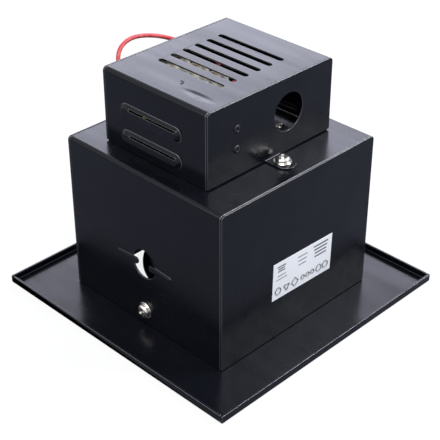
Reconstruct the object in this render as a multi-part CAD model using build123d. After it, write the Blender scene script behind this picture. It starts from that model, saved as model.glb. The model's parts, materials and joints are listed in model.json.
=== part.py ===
from build123d import *
import os
from math import cos, radians, sin, tan

# Square recessed ceiling downlight with a tilting lamp, lying face down on its trim.
# Millimetres. Origin: centre of the trim's front face. +Z points up into the ceiling.
# -Y is the side with the round spring seat, +X the side with the rating label.

# ---------------------------------------------------------------- driving dimensions
TRIM = 180.0            # side of the square trim
TRIM_T = 1.2            # trim sheet
LIP_H = 5.1             # height of the turned-up lips, from the front face
LIP_GAP = 0.7           # open slit at each corner, between two lips
LIP_BEND = 1.0          # outer radius of a lip's bend
COLLAR_T = 0.8          # upright collar round the aperture
COLLAR_H = 16.0

BOX = 122.2             # outer side of the square lamp housing
BOX_TOP = 101.0         # height of its top face
BOX_T = 1.0             # its sheet
BOX_BEND = 2.4          # outer bend radius of its two folds
BOX_SEAT = 0.4          # shadow gap between housing and trim
BOX_FLANGE = 8.0        # weld flanges behind the side panels
SEAM = 0.5              # edge break beside a welded seam

HEAD_X = (-42.0, 38.4)  # wiring box, outer faces of its end plates
HEAD_Y = 97.0           # its depth
HEAD_H = 45.1           # its height above the housing's top
HEAD_T = 1.0
HEAD_BEND = 2.6
HEAD_FLANGE = 6.0
HEAD_GAP = 0.8          # gap under its end plates

SLOT_COUNT = 6          # vent slots in the wiring box's top
SLOT_PITCH = 9.25
SLOT_LEN = 49.2
SLOT_W = 3.5
SLOT_X = -2.6           # middle of the slots along X
SLOT_Y0 = -20.4         # first slot

LOUVRE_LEN = 47.0       # louvres in the wiring box's long sides
LOUVRE_H = 8.6
LOUVRE_OUT = 2.5
LOUVRE_X = -4.5
LOUVRE_UP = (8.9, 24.9)     # middles of the two louvres above the housing's top
LOUVRE_REAR_DROP = 2.2      # the rear louvres sit a little lower
LOUVRE_DRAFT = 36.0         # slope of the hood's flanks, degrees
LOUVRE_EDGE = 1.3           # rounding round the hood's crown
LOUVRE_SLIT = (35.5, 1.0)   # the slit along the hood's upper edge
LOUVRE_SLIT_AT = (2.7, 2.4) # its middle from the hood's middle

ENTRY_R = 11.3          # cable entry in the right end plate
ENTRY_Y = 13.2
ENTRY_UP = 24.4         # its middle above the housing's top

EAR_W = 11.6            # ears that hold the wiring box down
EAR_L = 15.2
EAR_Y = 1.2
EAR_T = 1.0
EAR_SCREW_OUT = 7.2     # from the end plate's outer face to the screw

SEAT_R = 9.2            # round hole of the spring seat
SEAT_Z = 43.0
SEAT_SPAN = 44.0        # over both tongues
SEAT_TIPS = 8.6         # between their tips
TONGUE_W = (1.8, 4.2)   # tongue width at its root and at its tip
TONGUE_OUT = 1.1        # how far a tongue stands proud of the wall

PIVOT_Z = 11.2          # height of the lamp's tilt axis
PIVOT_R = 2.0           # M4 shank
PIVOT_FIT = 0.06        # radial running clearance of the lamp ring on the screws
CLEAR = 0.1             # side play between fixed and tilting sheets
HOLE_R = 2.2            # clearance hole for an M4 screw

M4_HEAD_R = 4.1
M4_HEAD_H = 2.7
WASHER_R = 5.1
WASHER_T = 0.8
NUT_AF = 7.0
NUT_H = 3.2
SCREW_LEN = 10.0        # shank under the head

RING_R = 47.0           # lamp ring
RING_IN = 37.5
RING_T = 1.5
RING_Z = 16.2
RING_ARM_W = 12.0

CAN_R = 43.4            # black can behind the ring
CAN_T = 1.0
CAN_SHOULDER = 38.0     # height where it starts to taper
CAN_TOP_R = 30.0
CAN_TOP = 72.0
CAN_VENT_R = 2.2
CAN_VENTS = 10
RIVET_R = 1.5
RIVET_HEAD_R = 2.4
RIVET_HEAD_H = 0.7

GLASS_R = 41.6
GLASS_T = 3.0
GASKET_T = 0.8
REFL_T = 0.8
REFL_NECK_R = 13.0
REFL_NECK_Z = 63.0

HOLDER_R = 14.0         # porcelain lampholder
HOLDER_H = 18.0
HOLDER_NECK_R = 10.5
HOLDER_NECK_H = 7.0
HOLDER_EAR = 44.0       # over its two fixing ears
LAMP_BASE_R = 9.0
LAMP_BASE_H = 11.0
BULB_R = 8.5
BULB_LEN = 30.0
BULB_WALL = 1.2
PIN_R = 1.0
PIN_GAP = 12.0
PIN_LEN = 6.0

BLOCK = (46.0, 24.0, 22.0)      # porcelain terminal block
BLOCK_X = -15.0
BLOCK_Y = -10.0
BLOCK_POLES = 3
BLOCK_PITCH = 15.0
BLOCK_ROUND = 2.0       # corner radius of its foot
POLE_W = 9.4
POLE_ROUND = 1.2
BLOCK_FOOT = 8.0
POLE_TUBE_R = 3.4
POLE_BORE_R = 2.0
SHELF_UP = 17.0         # bracket that carries the block, above the housing's top
SHELF_T = 1.0
SHELF_W = 28.0
SHELF_LEG = (-32.0, -18.0)      # its riveted leg along Y
SHELF_LEG_UP = (11.0, 35.0)     # and above the housing's top
RIVETS_Y = -27.0        # rivets through the end plate and the leg
RIVETS_UP = (17.0, 29.0)
HOLE_FIT = 0.1          # radial room round rivets and screws

CLAMP = (11.0, 26.0, 6.0)       # cord clamp
CLAMP_X = 24.0
EARTH_AT = (22.0, -34.0)
EYE_T = 0.8

LABEL = (49.4, 24.2, 0.2)
LABEL_Y = 3.4
LABEL_Z = 39.3
LABEL_TURN = -1.6       # degrees, stuck on a little crooked

LEAD_D = 2.6            # silicone insulated leads
GROMMET_R = 4.2
GROMMET_HOLE = 3.0
GROMMET_BORE = 1.45
GROMMET_LIP = 0.9

# ---------------------------------------------------------------- derived places
HALF = BOX / 2
WALL_IN = HALF - BOX_T                  # inner face of the housing walls
COLLAR_IN = WALL_IN - COLLAR_T          # aperture half side
HEAD_HY = HEAD_Y / 2
HEAD_MID = (HEAD_X[0] + HEAD_X[1]) / 2
HEAD_TOP = BOX_TOP + HEAD_H
ENTRY_Z = BOX_TOP + ENTRY_UP
CAN_Z = RING_Z + RING_T
GLASS_Z = CAN_Z + GASKET_T
REFL_Z = GLASS_Z + GLASS_T
HOLDER_Z = CAN_TOP
LAMP_BASE_TOP = HOLDER_Z - HOLDER_NECK_H
SHELF_Z = BOX_TOP + SHELF_UP
BLOCK_Z = SHELF_Z + SHELF_T
POLE_Z = BLOCK_Z + BLOCK[2] / 2 + 1     # axis of the block's brass tubes
EAR_SCREWS = ((HEAD_X[1] + EAR_SCREW_OUT, EAR_Y), (HEAD_X[0] - EAR_SCREW_OUT, -EAR_Y))
POLES = [BLOCK_X + (i - 1) * BLOCK_PITCH for i in range(BLOCK_POLES)]
FIX_HOLES = [(POLES[i] + POLES[i + 1]) / 2 for i in range(BLOCK_POLES - 1)]

# Routes of the leads, chosen by hand. Each starts at the terminal block.
LEAD_A = [(-15, 2, 131), (-15, 11.5, 131.5), (-21, 20, 133), (-33, 22, 134.3), (-47, 22, 134.3),
          (-57, 15, 138.5), (-62.5, 3, 142.3), (-63, -11, 144.5), (-60, -22.5, 141), (-55, -26, 131),
          (-52, -26, 114), (-52, -26, 98)]
LEAD_B = [(0, 2, 131), (0, 12.5, 130), (-7, 23, 126.5), (-19, 28.5, 123), (-33, 28, 121.5),
          (-48, 28, 121.5), (-57, 18, 122.5), (-59, 4, 124), (-57.5, -9, 121), (-52, -15, 110.5),
          (-52, -15, 98)]
TAIL_A = [(-52, -26, 98), (-52, -26, 87), (-46, -19, 80.5), (-32, -5, 81), (-17.3, -5, 81)]
TAIL_B = [(-52, -15, 98), (-52, -15, 87), (-46, -8, 80.5), (-32, 5, 81), (-17.3, 5, 81)]
EARTH = [(-30, -22, 131), (-30, -31, 130.5), (-24, -39.5, 124), (-13, -41.5, 114.5), (-2, -38, 108),
         (5.5, -34, 104), (14.2, -34, 104)]


# ---------------------------------------------------------------- small helpers
def slab(x0, x1, y0, y1, z0, z1):
    """A box between two corners."""
    return Pos((x0 + x1) / 2, (y0 + y1) / 2, (z0 + z1) / 2) * Box(x1 - x0, y1 - y0, z1 - z0)


def upright(x, y, z0, z1, r):
    """A cylinder along Z between two heights."""
    return Pos(x, y, (z0 + z1) / 2) * Cylinder(r, z1 - z0)


def along_y(x, z, y0, y1, r):
    """A cylinder along Y."""
    return Pos(x, (y0 + y1) / 2, z) * Rot(90, 0, 0) * Cylinder(r, abs(y1 - y0))


def along_x(y, z, x0, x1, r):
    """A cylinder along X."""
    return Pos((x0 + x1) / 2, y, z) * Rot(0, 90, 0) * Cylinder(r, abs(x1 - x0))


def ring(r_out, r_in, z0, z1):
    """A flat ring about Z."""
    return upright(0, 0, z0, z1, r_out) - upright(0, 0, z0 - 1, z1 + 1, r_in)


def turned(points):
    """A solid of revolution about Z from (radius, height) points."""
    outline = Polyline(*[(r, 0, z) for r, z in points], close=True)
    return revolve(make_face(outline), Axis.Z)


def folded(x0, x1, hy, z0, z1, bend):
    """The solid inside a U-shaped fold: a box with its two top long edges rounded."""
    body = slab(x0, x1, -hy, hy, z0, z1)
    return fillet(body.edges().filter_by(Axis.X).sort_by(Axis.Z)[-2:], bend)


def u_sheet(x0, x1, hy, z0, z1, bend, t, flange):
    """A U-shaped sheet, open below, with a narrow weld flange turned in at each end."""
    outer = folded(x0, x1, hy, z0, z1, bend)
    ends = outer.edges().group_by(Axis.X)
    outer = chamfer([e for e in ends[0] + ends[-1] if e.center().Z > z0 + t], SEAM)
    inner = folded(x0 + t, x1 - t, hy - t, z0 - 1, z1 - t, bend - t)
    mouth = folded(x0 - 1, x1 + 1, hy - t - flange, z0 - 1, z1 - t - flange, bend - t)
    return outer - inner - mouth


def pan_head(r, h):
    """A pan head with a cross recess, seat at the origin, standing up along +Z."""
    head = Cylinder(r, h, align=(Align.CENTER, Align.CENTER, Align.MIN))
    head = fillet(head.edges().sort_by(Axis.Z)[-1], h * 0.55)
    arm = Box(r * 1.05, r * 0.24, h * 0.8, align=(Align.CENTER, Align.CENTER, Align.MIN))
    recess = Pos(0, 0, h * 0.45) * (arm + Rot(0, 0, 90) * arm)
    return head - recess


def screw(r, length, head_r, head_h):
    """A cross-recessed pan head screw: head above the origin, shank below."""
    shank = Pos(0, 0, -length / 2) * Cylinder(r, length)
    return pan_head(head_r, head_h) + shank


def flat_washer(r_out, r_in, t):
    """A flat washer standing on the origin."""
    body = Pos(0, 0, t / 2) * (Cylinder(r_out, t) - Cylinder(r_in, t + 1))
    return body


def hex_nut(af, bore_r, h):
    """A hexagon nut standing on the origin."""
    body = extrude(RegularPolygon(af / 2, 6, major_radius=False), h)
    return body - Pos(0, 0, h / 2) * Cylinder(bore_r, h + 1)


def rivet(r, grip, head_r, head_h):
    """A blind rivet: domed head above the origin, shank and set head below."""
    head = Cylinder(head_r, head_h, align=(Align.CENTER, Align.CENTER, Align.MIN))
    head = fillet(head.edges().sort_by(Axis.Z)[-1], head_h * 0.6)
    shank = Pos(0, 0, -grip / 2) * Cylinder(r, grip)
    tail = Pos(0, 0, -grip - 0.6) * Cylinder(r * 1.4, 1.2)
    return head + shank + tail


def corner_radii(points):
    """Largest tidy bend at each inner point: 0.45 of the shorter run over tan of half the turn."""
    radii = []
    for before, here, after in zip(points, points[1:], points[2:]):
        a = Vector(*here) - Vector(*before)
        b = Vector(*after) - Vector(*here)
        turn = radians(a.get_angle(b))
        radii.append(0.45 * min(a.length, b.length) / tan(turn / 2))
    return radii


def lead(points):
    """A round lead: straight runs joined by tangent arcs."""
    radii = corner_radii(points)
    print("lead radii", [round(r, 1) for r in radii])
    path = FilletPolyline(*points, radius=radii)
    section = Plane(origin=path @ 0, z_dir=path % 0) * Circle(LEAD_D / 2)
    return sweep(section, path)


def grommet():
    """A rubber grommet about Z, its groove round a sheet from 0 to its thickness."""
    body = turned([
        (GROMMET_BORE, -GROMMET_LIP), (GROMMET_R, -GROMMET_LIP), (GROMMET_R, 0),
        (GROMMET_HOLE, 0), (GROMMET_HOLE, BOX_T), (GROMMET_R, BOX_T),
        (GROMMET_R, BOX_T + GROMMET_LIP), (GROMMET_BORE, BOX_T + GROMMET_LIP)])
    return body


def crossing(points, axis, value):
    """Where a route crosses the plane where its given coordinate has a value."""
    for a, b in zip(points, points[1:]):
        if (a[axis] - value) * (b[axis] - value) <= 0 and a[axis] != b[axis]:
            f = (value - a[axis]) / (b[axis] - a[axis])
            return tuple(p + f * (q - p) for p, q in zip(a, b))
    raise ValueError("the route does not cross the plane")


LEAD_HOLES = [crossing(p, 0, HEAD_X[0])[1:] for p in (LEAD_A, LEAD_B)]
TOP_HOLES = [crossing(p, 2, BOX_TOP)[:2] for p in (LEAD_A, LEAD_B)]


# ---------------------------------------------------------------- trim
def trim_tray():
    """Square trim with four turned-up lips, open at the corners, and a collar round its aperture."""
    h = TRIM / 2
    body = slab(-h, h, -h, h, 0, LIP_H)
    body = fillet(body.edges().group_by(Axis.Z)[0], LIP_BEND)
    pocket = slab(-h + TRIM_T, h - TRIM_T, -h + TRIM_T, h - TRIM_T, TRIM_T, LIP_H + 1)
    body -= pocket
    slit = Pos(0, 0, TRIM_T + LIP_H / 2) * Box(LIP_GAP, 4 * TRIM_T, LIP_H)
    for sx in (-1, 1):
        for sy in (-1, 1):
            body -= Pos(sx * (h - TRIM_T - LIP_GAP / 2), sy * h, 0) * slit
    body -= slab(-COLLAR_IN, COLLAR_IN, -COLLAR_IN, COLLAR_IN, -1, LIP_H)
    wide = WALL_IN - BOX_FLANGE - 0.5
    for turn in range(4):
        leaf = slab(-wide, wide, -WALL_IN, -COLLAR_IN, TRIM_T / 2, COLLAR_H)
        leaf = chamfer(leaf.edges().filter_by(Axis.Y).sort_by(Axis.Z)[-2:], 3.0)
        body += Rot(0, 0, 90 * turn) * leaf
    for sy in (-1, 1):
        body -= along_y(0, PIVOT_Z, sy * (COLLAR_IN - 1), sy * HALF, HOLE_R)
    return body


# ---------------------------------------------------------------- lamp housing
def tongue():
    """One tongue of the spring seat, pointing along -X from its root, its back on the XZ plane."""
    root, tip = SEAT_SPAN / 2, SEAT_TIPS / 2
    r0, r1 = TONGUE_W[0] / 2, TONGUE_W[1] / 2
    flat = make_hull([
        Pos(root - r0, 0) * Circle(r0).edge(),
        Pos(tip + r1, 0) * Circle(r1).edge(),
    ])
    body = extrude(flat, TONGUE_OUT + 0.3)
    body = fillet(body.edges().group_by(Axis.Z)[-1], 0.6)
    return Pos(0, 0.3, 0) * Rot(90, 0, 0) * body


def lamp_housing():
    """U-shaped sheet: front wall, top and rear wall, with a spring seat in each wall."""
    x = HALF - BOX_T
    body = u_sheet(-x, x, HALF, TRIM_T + BOX_SEAT, BOX_TOP, BOX_BEND, BOX_T, BOX_FLANGE)
    for sy in (-1, 1):
        body -= along_y(0, SEAT_Z, sy * (HALF - 3), sy * (HALF + 3), SEAT_R)
        body -= along_y(0, PIVOT_Z, sy * (HALF - 3), sy * (HALF + 3), HOLE_R)
    for turn in (0, 180):
        pair = tongue() + mirror(tongue(), Plane.YZ)
        body += Rot(0, 0, turn) * Pos(0, -HALF, SEAT_Z) * pair
    for x, y in EAR_SCREWS:
        body -= upright(x, y, BOX_TOP - 3, BOX_TOP + 3, HOLE_R)
    for x, y in TOP_HOLES:
        body -= upright(x, y, BOX_TOP - 3, BOX_TOP + 3, GROMMET_HOLE)
    body -= upright(*EARTH_AT, BOX_TOP - 3, BOX_TOP + 3, PIVOT_R + 0.1)
    for sy in (-1, 1):
        y = ENTRY_Y + sy * (CLAMP[1] / 2 - 4)
        body -= upright(CLAMP_X, y, BOX_TOP - 3, BOX_TOP + 3, RIVET_R + 0.1)
    return body


def side_panel(sx):
    """Flat end panel of the housing, welded over the U-sheet's flanges."""
    body = folded(0, BOX_T, HALF, TRIM_T + BOX_SEAT, BOX_TOP, BOX_BEND)
    return Pos(HALF - BOX_T, 0, 0) * body if sx > 0 else Pos(-HALF, 0, 0) * body


# ---------------------------------------------------------------- wiring box
def louvre(z):
    """A pressed louvre on the -Y wall: hood and the space under it, both about the wall's outer face."""
    def hood(inset, out):
        outline = SlotOverall(LOUVRE_LEN - 2 * inset, LOUVRE_H - 2 * inset)
        return extrude(outline, out, taper=LOUVRE_DRAFT)

    outer = hood(0, LOUVRE_OUT)
    outer = fillet(outer.edges().group_by(Axis.Z)[-1], LOUVRE_EDGE)
    inner = hood(HEAD_T, LOUVRE_OUT - 0.8 * HEAD_T)
    inner += Pos(0, 0, -HEAD_T / 2) * Box(LOUVRE_LEN - LOUVRE_H, LOUVRE_H - 2 * HEAD_T, 1.4 * HEAD_T)
    slit = Pos(*LOUVRE_SLIT_AT, 0) * Box(*LOUVRE_SLIT, 3 * LOUVRE_OUT)
    place = Pos(LOUVRE_X, -HEAD_HY, z) * Rot(90, 0, 0)
    return place * outer, place * (inner + slit)


def wiring_cover():
    """U-shaped cover: louvred long sides and a slotted top."""
    x0, x1 = HEAD_X[0] + HEAD_T, HEAD_X[1] - HEAD_T
    body = u_sheet(x0, x1, HEAD_HY, BOX_TOP + 0.3, HEAD_TOP, HEAD_BEND, HEAD_T, HEAD_FLANGE)
    for up in LOUVRE_UP:
        hood, space = louvre(BOX_TOP + up)
        for side in (0, 180):
            spot = Pos(2 * LOUVRE_X, 0, -LOUVRE_REAR_DROP) * Rot(0, 0, side) if side else Pos(0, 0, 0)
            body += spot * hood
            body -= spot * space
    cut = extrude(SlotOverall(SLOT_LEN, SLOT_W), 4 * HEAD_T)
    for i in range(SLOT_COUNT):
        body -= Pos(SLOT_X, SLOT_Y0 + i * SLOT_PITCH, HEAD_TOP - 3 * HEAD_T) * cut
    return body


def end_plate(sx):
    """End plate of the wiring box with its ear; made for +X and turned round for -X."""
    flat = folded(0, HEAD_T, HEAD_HY, BOX_TOP + HEAD_GAP, HEAD_TOP, HEAD_BEND)
    reach = HEAD_T + EAR_L - EAR_W / 2
    ear = Pos(reach, 0, 0) * extrude(Circle(EAR_W / 2), EAR_T)
    ear += slab(0, reach, -EAR_W / 2, EAR_W / 2, 0, EAR_T)
    ear += slab(0, HEAD_T, -EAR_W / 2, EAR_W / 2, 0, HEAD_GAP + 1)
    ear -= Pos(HEAD_T + EAR_SCREW_OUT, 0, 0) * Cylinder(HOLE_R, 4 * EAR_T)
    plate = flat + Pos(0, EAR_Y, BOX_TOP) * ear
    plate = Pos(HEAD_X[1] - HEAD_T, 0, 0) * plate
    if sx > 0:
        plate -= along_x(ENTRY_Y, ENTRY_Z, HEAD_X[1] - 3, HEAD_X[1] + 3, ENTRY_R)
        for up in RIVETS_UP:
            plate -= along_x(RIVETS_Y, BOX_TOP + up, HEAD_X[1] - 3, HEAD_X[1] + 3, RIVET_R + HOLE_FIT / 2)
        return plate
    plate = Pos(2 * HEAD_MID, 0, 0) * Rot(0, 0, 180) * plate
    for y, z in LEAD_HOLES:
        plate -= along_x(y, z, HEAD_X[0] - 3, HEAD_X[0] + 3, GROMMET_HOLE)
    return plate


def ear_screws():
    """Two screws through the ears into the housing's top."""
    seat = BOX_TOP + EAR_T + WASHER_T
    one = screw(PIVOT_R, SCREW_LEN, M4_HEAD_R, M4_HEAD_H)
    return [Pos(x, y, seat) * Rot(0, 0, 25) * one for x, y in EAR_SCREWS]


def ear_washers():
    """Flat washers under the ear screws."""
    one = flat_washer(WASHER_R, PIVOT_R + 0.1, WASHER_T)
    return [Pos(x, y, BOX_TOP + EAR_T) * one for x, y in EAR_SCREWS]


def ear_nuts():
    """Nuts of the ear screws, under the housing's top."""
    one = hex_nut(NUT_AF, PIVOT_R, NUT_H)
    return [Pos(x, y, BOX_TOP - BOX_T - NUT_H) * one for x, y in EAR_SCREWS]


# ---------------------------------------------------------------- wiring
def terminal_bracket():
    """Shelf for the terminal block: riveted leg on the right end plate, foot on the housing's top."""
    x1 = HEAD_X[1] - HEAD_T
    x0 = HEAD_X[0] + HEAD_T + HEAD_FLANGE
    y0, y1 = BLOCK_Y - SHELF_W / 2, BLOCK_Y + SHELF_W / 2
    body = slab(x0, x1, y0, y1, SHELF_Z, BLOCK_Z)
    body += slab(x1 - SHELF_T, x1, *SHELF_LEG, BOX_TOP + SHELF_LEG_UP[0], BOX_TOP + SHELF_LEG_UP[1])
    body += slab(x0, x0 + SHELF_T, y0, y1, BOX_TOP, BLOCK_Z)
    for up in RIVETS_UP:
        body -= along_x(RIVETS_Y, BOX_TOP + up, x1 - 3, x1 + 1, RIVET_R + HOLE_FIT / 2)
    for x in FIX_HOLES:
        body -= upright(x, BLOCK_Y, SHELF_Z - 1, BLOCK_Z + 1, RIVET_R + HOLE_FIT)
    return body


def bracket_rivets():
    """Two rivets through the end plate and the bracket's leg."""
    one = Rot(0, 90, 0) * rivet(RIVET_R, HEAD_T + SHELF_T, RIVET_HEAD_R, RIVET_HEAD_H)
    return [Pos(HEAD_X[1], RIVETS_Y, BOX_TOP + up) * one for up in RIVETS_UP]


def terminal_block():
    """Three-pole porcelain block: a foot with three barrels, bored for tubes and screws."""
    lx, ly, lz = BLOCK
    z0 = BLOCK_Z
    body = slab(BLOCK_X - lx / 2, BLOCK_X + lx / 2, BLOCK_Y - ly / 2, BLOCK_Y + ly / 2, z0, z0 + BLOCK_FOOT)
    body = fillet(body.edges().filter_by(Axis.Z), BLOCK_ROUND)
    for x in POLES:
        pole = slab(x - POLE_W / 2, x + POLE_W / 2, BLOCK_Y - ly / 2, BLOCK_Y + ly / 2, z0 + 1, z0 + lz)
        pole = fillet(pole.edges().filter_by(Axis.Z) + pole.edges().group_by(Axis.Z)[-1], POLE_ROUND)
        body += pole
    for x in POLES:
        body -= along_y(x, POLE_Z, BLOCK_Y - ly, BLOCK_Y + ly, POLE_TUBE_R)
        for dy in (-ly / 4, ly / 4):
            body -= upright(x, BLOCK_Y + dy, z0 + lz / 2, z0 + lz + 1, POLE_BORE_R + 0.5)
    for x in FIX_HOLES:
        body -= upright(x, BLOCK_Y, z0 - 1, z0 + lz, RIVET_R + HOLE_FIT)
    return body


def pole_tubes():
    """Brass tubes of the terminal block."""
    ly, z = BLOCK[1], POLE_Z
    tubes = []
    for x in POLES:
        tube = along_y(x, z, BLOCK_Y - ly / 2 + 2, BLOCK_Y + ly / 2 - 2, POLE_TUBE_R)
        tube -= along_y(x, z, BLOCK_Y - ly, BLOCK_Y + ly, POLE_BORE_R)
        for dy in (-ly / 4, ly / 4):
            tube -= upright(x, BLOCK_Y + dy, z, z + 2 * POLE_TUBE_R, POLE_BORE_R - 0.2)
        tubes.append(tube)
    return tubes


def pole_screws():
    """Slotted clamping screws of the terminal block."""
    ly, z = BLOCK[1], POLE_Z
    top = BLOCK_Z + BLOCK[2] - 1.0
    screws = []
    for x in POLES:
        for dy in (-ly / 4, ly / 4):
            one = upright(x, BLOCK_Y + dy, z + POLE_BORE_R * 0.7, top, POLE_BORE_R - 0.2)
            one -= Pos(x, BLOCK_Y + dy, top) * Box(5, 0.7, 1.6)
            screws.append(one)
    return screws


def block_screws():
    """Two screws that hold the terminal block on its bracket."""
    seat = BLOCK_Z + BLOCK_FOOT
    one = screw(RIVET_R, BLOCK_FOOT + SHELF_T + 2, 2.8, 2.0)
    return [Pos(x, BLOCK_Y, seat) * one for x in FIX_HOLES]


def cord_clamp():
    """Moulded bar that clamps the supply cable behind the cable entry."""
    lx, ly, lz = CLAMP
    body = slab(CLAMP_X - lx / 2, CLAMP_X + lx / 2, ENTRY_Y - ly / 2, ENTRY_Y + ly / 2, BOX_TOP, BOX_TOP + lz)
    body = fillet(body.edges().filter_by(Axis.Z), 2.5)
    body -= along_x(ENTRY_Y, BOX_TOP, CLAMP_X - lx, CLAMP_X + lx, 4.2)
    for sy in (-1, 1):
        body -= upright(CLAMP_X, ENTRY_Y + sy * (ly / 2 - 4), BOX_TOP - 1, BOX_TOP + lz + 1, RIVET_R + 0.1)
    return body


def clamp_screws():
    """Screws of the cord clamp."""
    one = screw(RIVET_R, CLAMP[2] + BOX_T + 3, 2.8, 2.0)
    return [Pos(CLAMP_X, ENTRY_Y + sy * (CLAMP[1] / 2 - 4), BOX_TOP + CLAMP[2]) * one for sy in (-1, 1)]


def earth_screw():
    """Earth screw in the housing's top, inside the wiring box."""
    return [Pos(*EARTH_AT, BOX_TOP + 2 * EYE_T + WASHER_T) * screw(PIVOT_R, 8.0, 3.6, 2.4)]


def earth_eye():
    """Crimped eye of the earth lead, with a washer under it and one over it."""
    x, y = EARTH_AT
    under = Pos(x, y, BOX_TOP) * flat_washer(4.2, PIVOT_R + 0.1, EYE_T)
    over = Pos(x, y, BOX_TOP + 2 * EYE_T) * flat_washer(4.2, PIVOT_R + 0.1, WASHER_T)
    z = BOX_TOP + EYE_T
    eye = upright(x, y, z, z + EYE_T, 4.0)
    eye += slab(EARTH[-1][0] + 0.5, x, y - 1.5, y + 1.5, z, z + EYE_T)
    eye += along_x(y, EARTH[-1][2], EARTH[-1][0], x - 4.3, 1.6)
    eye -= upright(x, y, BOX_TOP - 1, z + 2, PIVOT_R + 0.1)
    return [eye, under, over]


def grommets_side():
    """Grommets of the lamp leads in the left end plate."""
    return [Pos(HEAD_X[0], y, z) * Rot(0, 90, 0) * grommet() for y, z in LEAD_HOLES]


def grommets_top():
    """Grommets of the lamp leads in the housing's top."""
    return [Pos(x, y, BOX_TOP - BOX_T) * grommet() for x, y in TOP_HOLES]


# ---------------------------------------------------------------- tilt pivots
def at_pivot(part, y):
    """Puts a part that stands on the origin along +Z on the front wall's pivot, at a depth y."""
    return Pos(0, y, PIVOT_Z) * Rot(90, 0, 0) * part


def both_walls(part):
    """The part on the front wall, and the same part turned round to the rear wall."""
    return [part, Rot(0, 0, 180) * part]


PIVOT_SEAT = HALF + WASHER_T            # under the head
EAR_IN = COLLAR_IN - CLEAR - RING_T     # inner face of the lamp ring's ears


def pivot_screws():
    """Screws on which the lamp ring tilts."""
    length = PIVOT_SEAT - EAR_IN + CLEAR + 0.6 + NUT_H + 1.0
    return both_walls(at_pivot(Rot(0, 0, 38) * screw(PIVOT_R, length, M4_HEAD_R, M4_HEAD_H), -PIVOT_SEAT))


def pivot_washers():
    """Washers under the heads of the pivot screws."""
    return both_walls(at_pivot(flat_washer(WASHER_R, PIVOT_R + 0.1, WASHER_T), -HALF))


def pivot_springs():
    """Friction washers between the lamp ring's ears and the nuts."""
    return both_walls(at_pivot(flat_washer(4.4, PIVOT_R + 0.1, 0.6), -(EAR_IN - CLEAR - 0.6)))


def pivot_nuts():
    """Lock nuts of the pivot screws."""
    return both_walls(at_pivot(hex_nut(NUT_AF, PIVOT_R, NUT_H), -(EAR_IN - CLEAR - 0.6 - NUT_H)))


# ---------------------------------------------------------------- tilting lamp head
def lamp_ring():
    """Flat ring with two arms that turn down into pivot ears."""
    body = ring(RING_R, RING_IN, RING_Z, RING_Z + RING_T)
    w = RING_ARM_W / 2
    outer = COLLAR_IN - CLEAR
    for turn in (0, 180):
        arm = slab(-w, w, -outer, -RING_R + 2, RING_Z, RING_Z + RING_T)
        arm += slab(-w, w, -outer, -EAR_IN, PIVOT_Z, RING_Z + RING_T)
        arm += along_y(0, PIVOT_Z, -outer, -EAR_IN, w)
        arm -= along_y(0, PIVOT_Z, -outer - 1, -EAR_IN + 1, PIVOT_R + PIVOT_FIT)
        body += Rot(0, 0, turn) * arm
    for x, y in rivet_spots():
        body -= upright(x, y, RING_Z - 1, RING_Z + 3, RIVET_R - 0.3)
    return body


def rivet_spots():
    """Places of the rivets that hold the can on the ring."""
    r = (CAN_R + RING_R) / 2
    return [(r * cos(radians(a)), r * sin(radians(a))) for a in (30, 150, 270)]


def lamp_can():
    """Black can behind the lamp ring, with vents in its top."""
    taper = [(CAN_R, CAN_SHOULDER), (CAN_TOP_R, CAN_TOP)]
    flange = RING_R - 0.3
    body = turned([
        (CAN_R - CAN_T, CAN_Z), (flange, CAN_Z), (flange, CAN_Z + CAN_T), (CAN_R, CAN_Z + CAN_T),
        *taper, (HOLDER_NECK_R + 0.5, CAN_TOP), (HOLDER_NECK_R + 0.5, CAN_TOP - CAN_T),
        (CAN_TOP_R - CAN_T, CAN_TOP - CAN_T), (CAN_R - CAN_T, CAN_SHOULDER)])
    for i in range(CAN_VENTS):
        a = radians(360 / CAN_VENTS * (i + 0.5))
        r = (CAN_TOP_R + HOLDER_R) / 2 + 1.5
        body -= upright(r * cos(a), r * sin(a), CAN_TOP - 2, CAN_TOP + 2, CAN_VENT_R)
    for x, y in rivet_spots():
        body -= upright(x, y, CAN_Z - 1, CAN_Z + CAN_T + 0.01, RIVET_R - 0.3)
    for sx in (-1, 1):
        body -= upright(sx * (HOLDER_EAR / 2 - 5), 0, CAN_TOP - 3, CAN_TOP + 3, RIVET_R + 0.1)
    return body


def can_rivets():
    """Three rivets through the can's flange and the ring."""
    one = rivet(RIVET_R - 0.3, RING_T + CAN_T, 1.7, 0.6)
    return [Pos(x, y, CAN_Z + CAN_T) * one for x, y in rivet_spots()]


def front_glass():
    """Toughened front glass."""
    glass = upright(0, 0, GLASS_Z, REFL_Z, GLASS_R)
    return chamfer(glass.edges(), 0.4)


def glass_gasket():
    """Silicone gasket between ring and glass."""
    return ring(GLASS_R, RING_IN, CAN_Z, GLASS_Z)


def reflector():
    """Spun aluminium bowl with a cylindrical neck and a rolled rim."""
    rim_r = GLASS_R - 0.6
    def bowl(r0, r1, z0, z1):
        a = (r0, 0, z0)
        b = (r1, 0, z1)
        middle = ((r0 * 0.86 + r1 * 0.14), 0, z0 + (z1 - z0) * 0.42)
        return ThreePointArc(a, middle, b)
    neck = REFL_NECK_Z - 6
    inner = bowl(rim_r - REFL_T, REFL_NECK_R - REFL_T, REFL_Z, neck)
    outer = bowl(rim_r, REFL_NECK_R, REFL_Z, neck)
    sides = [
        Line(inner @ 1, (REFL_NECK_R - REFL_T, 0, REFL_NECK_Z)),
        Line((REFL_NECK_R - REFL_T, 0, REFL_NECK_Z), (REFL_NECK_R, 0, REFL_NECK_Z)),
        Line((REFL_NECK_R, 0, REFL_NECK_Z), outer @ 1),
        Line(inner @ 0, outer @ 0)]
    return revolve(make_face(Wire([inner, outer, *sides])), Axis.Z)


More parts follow.
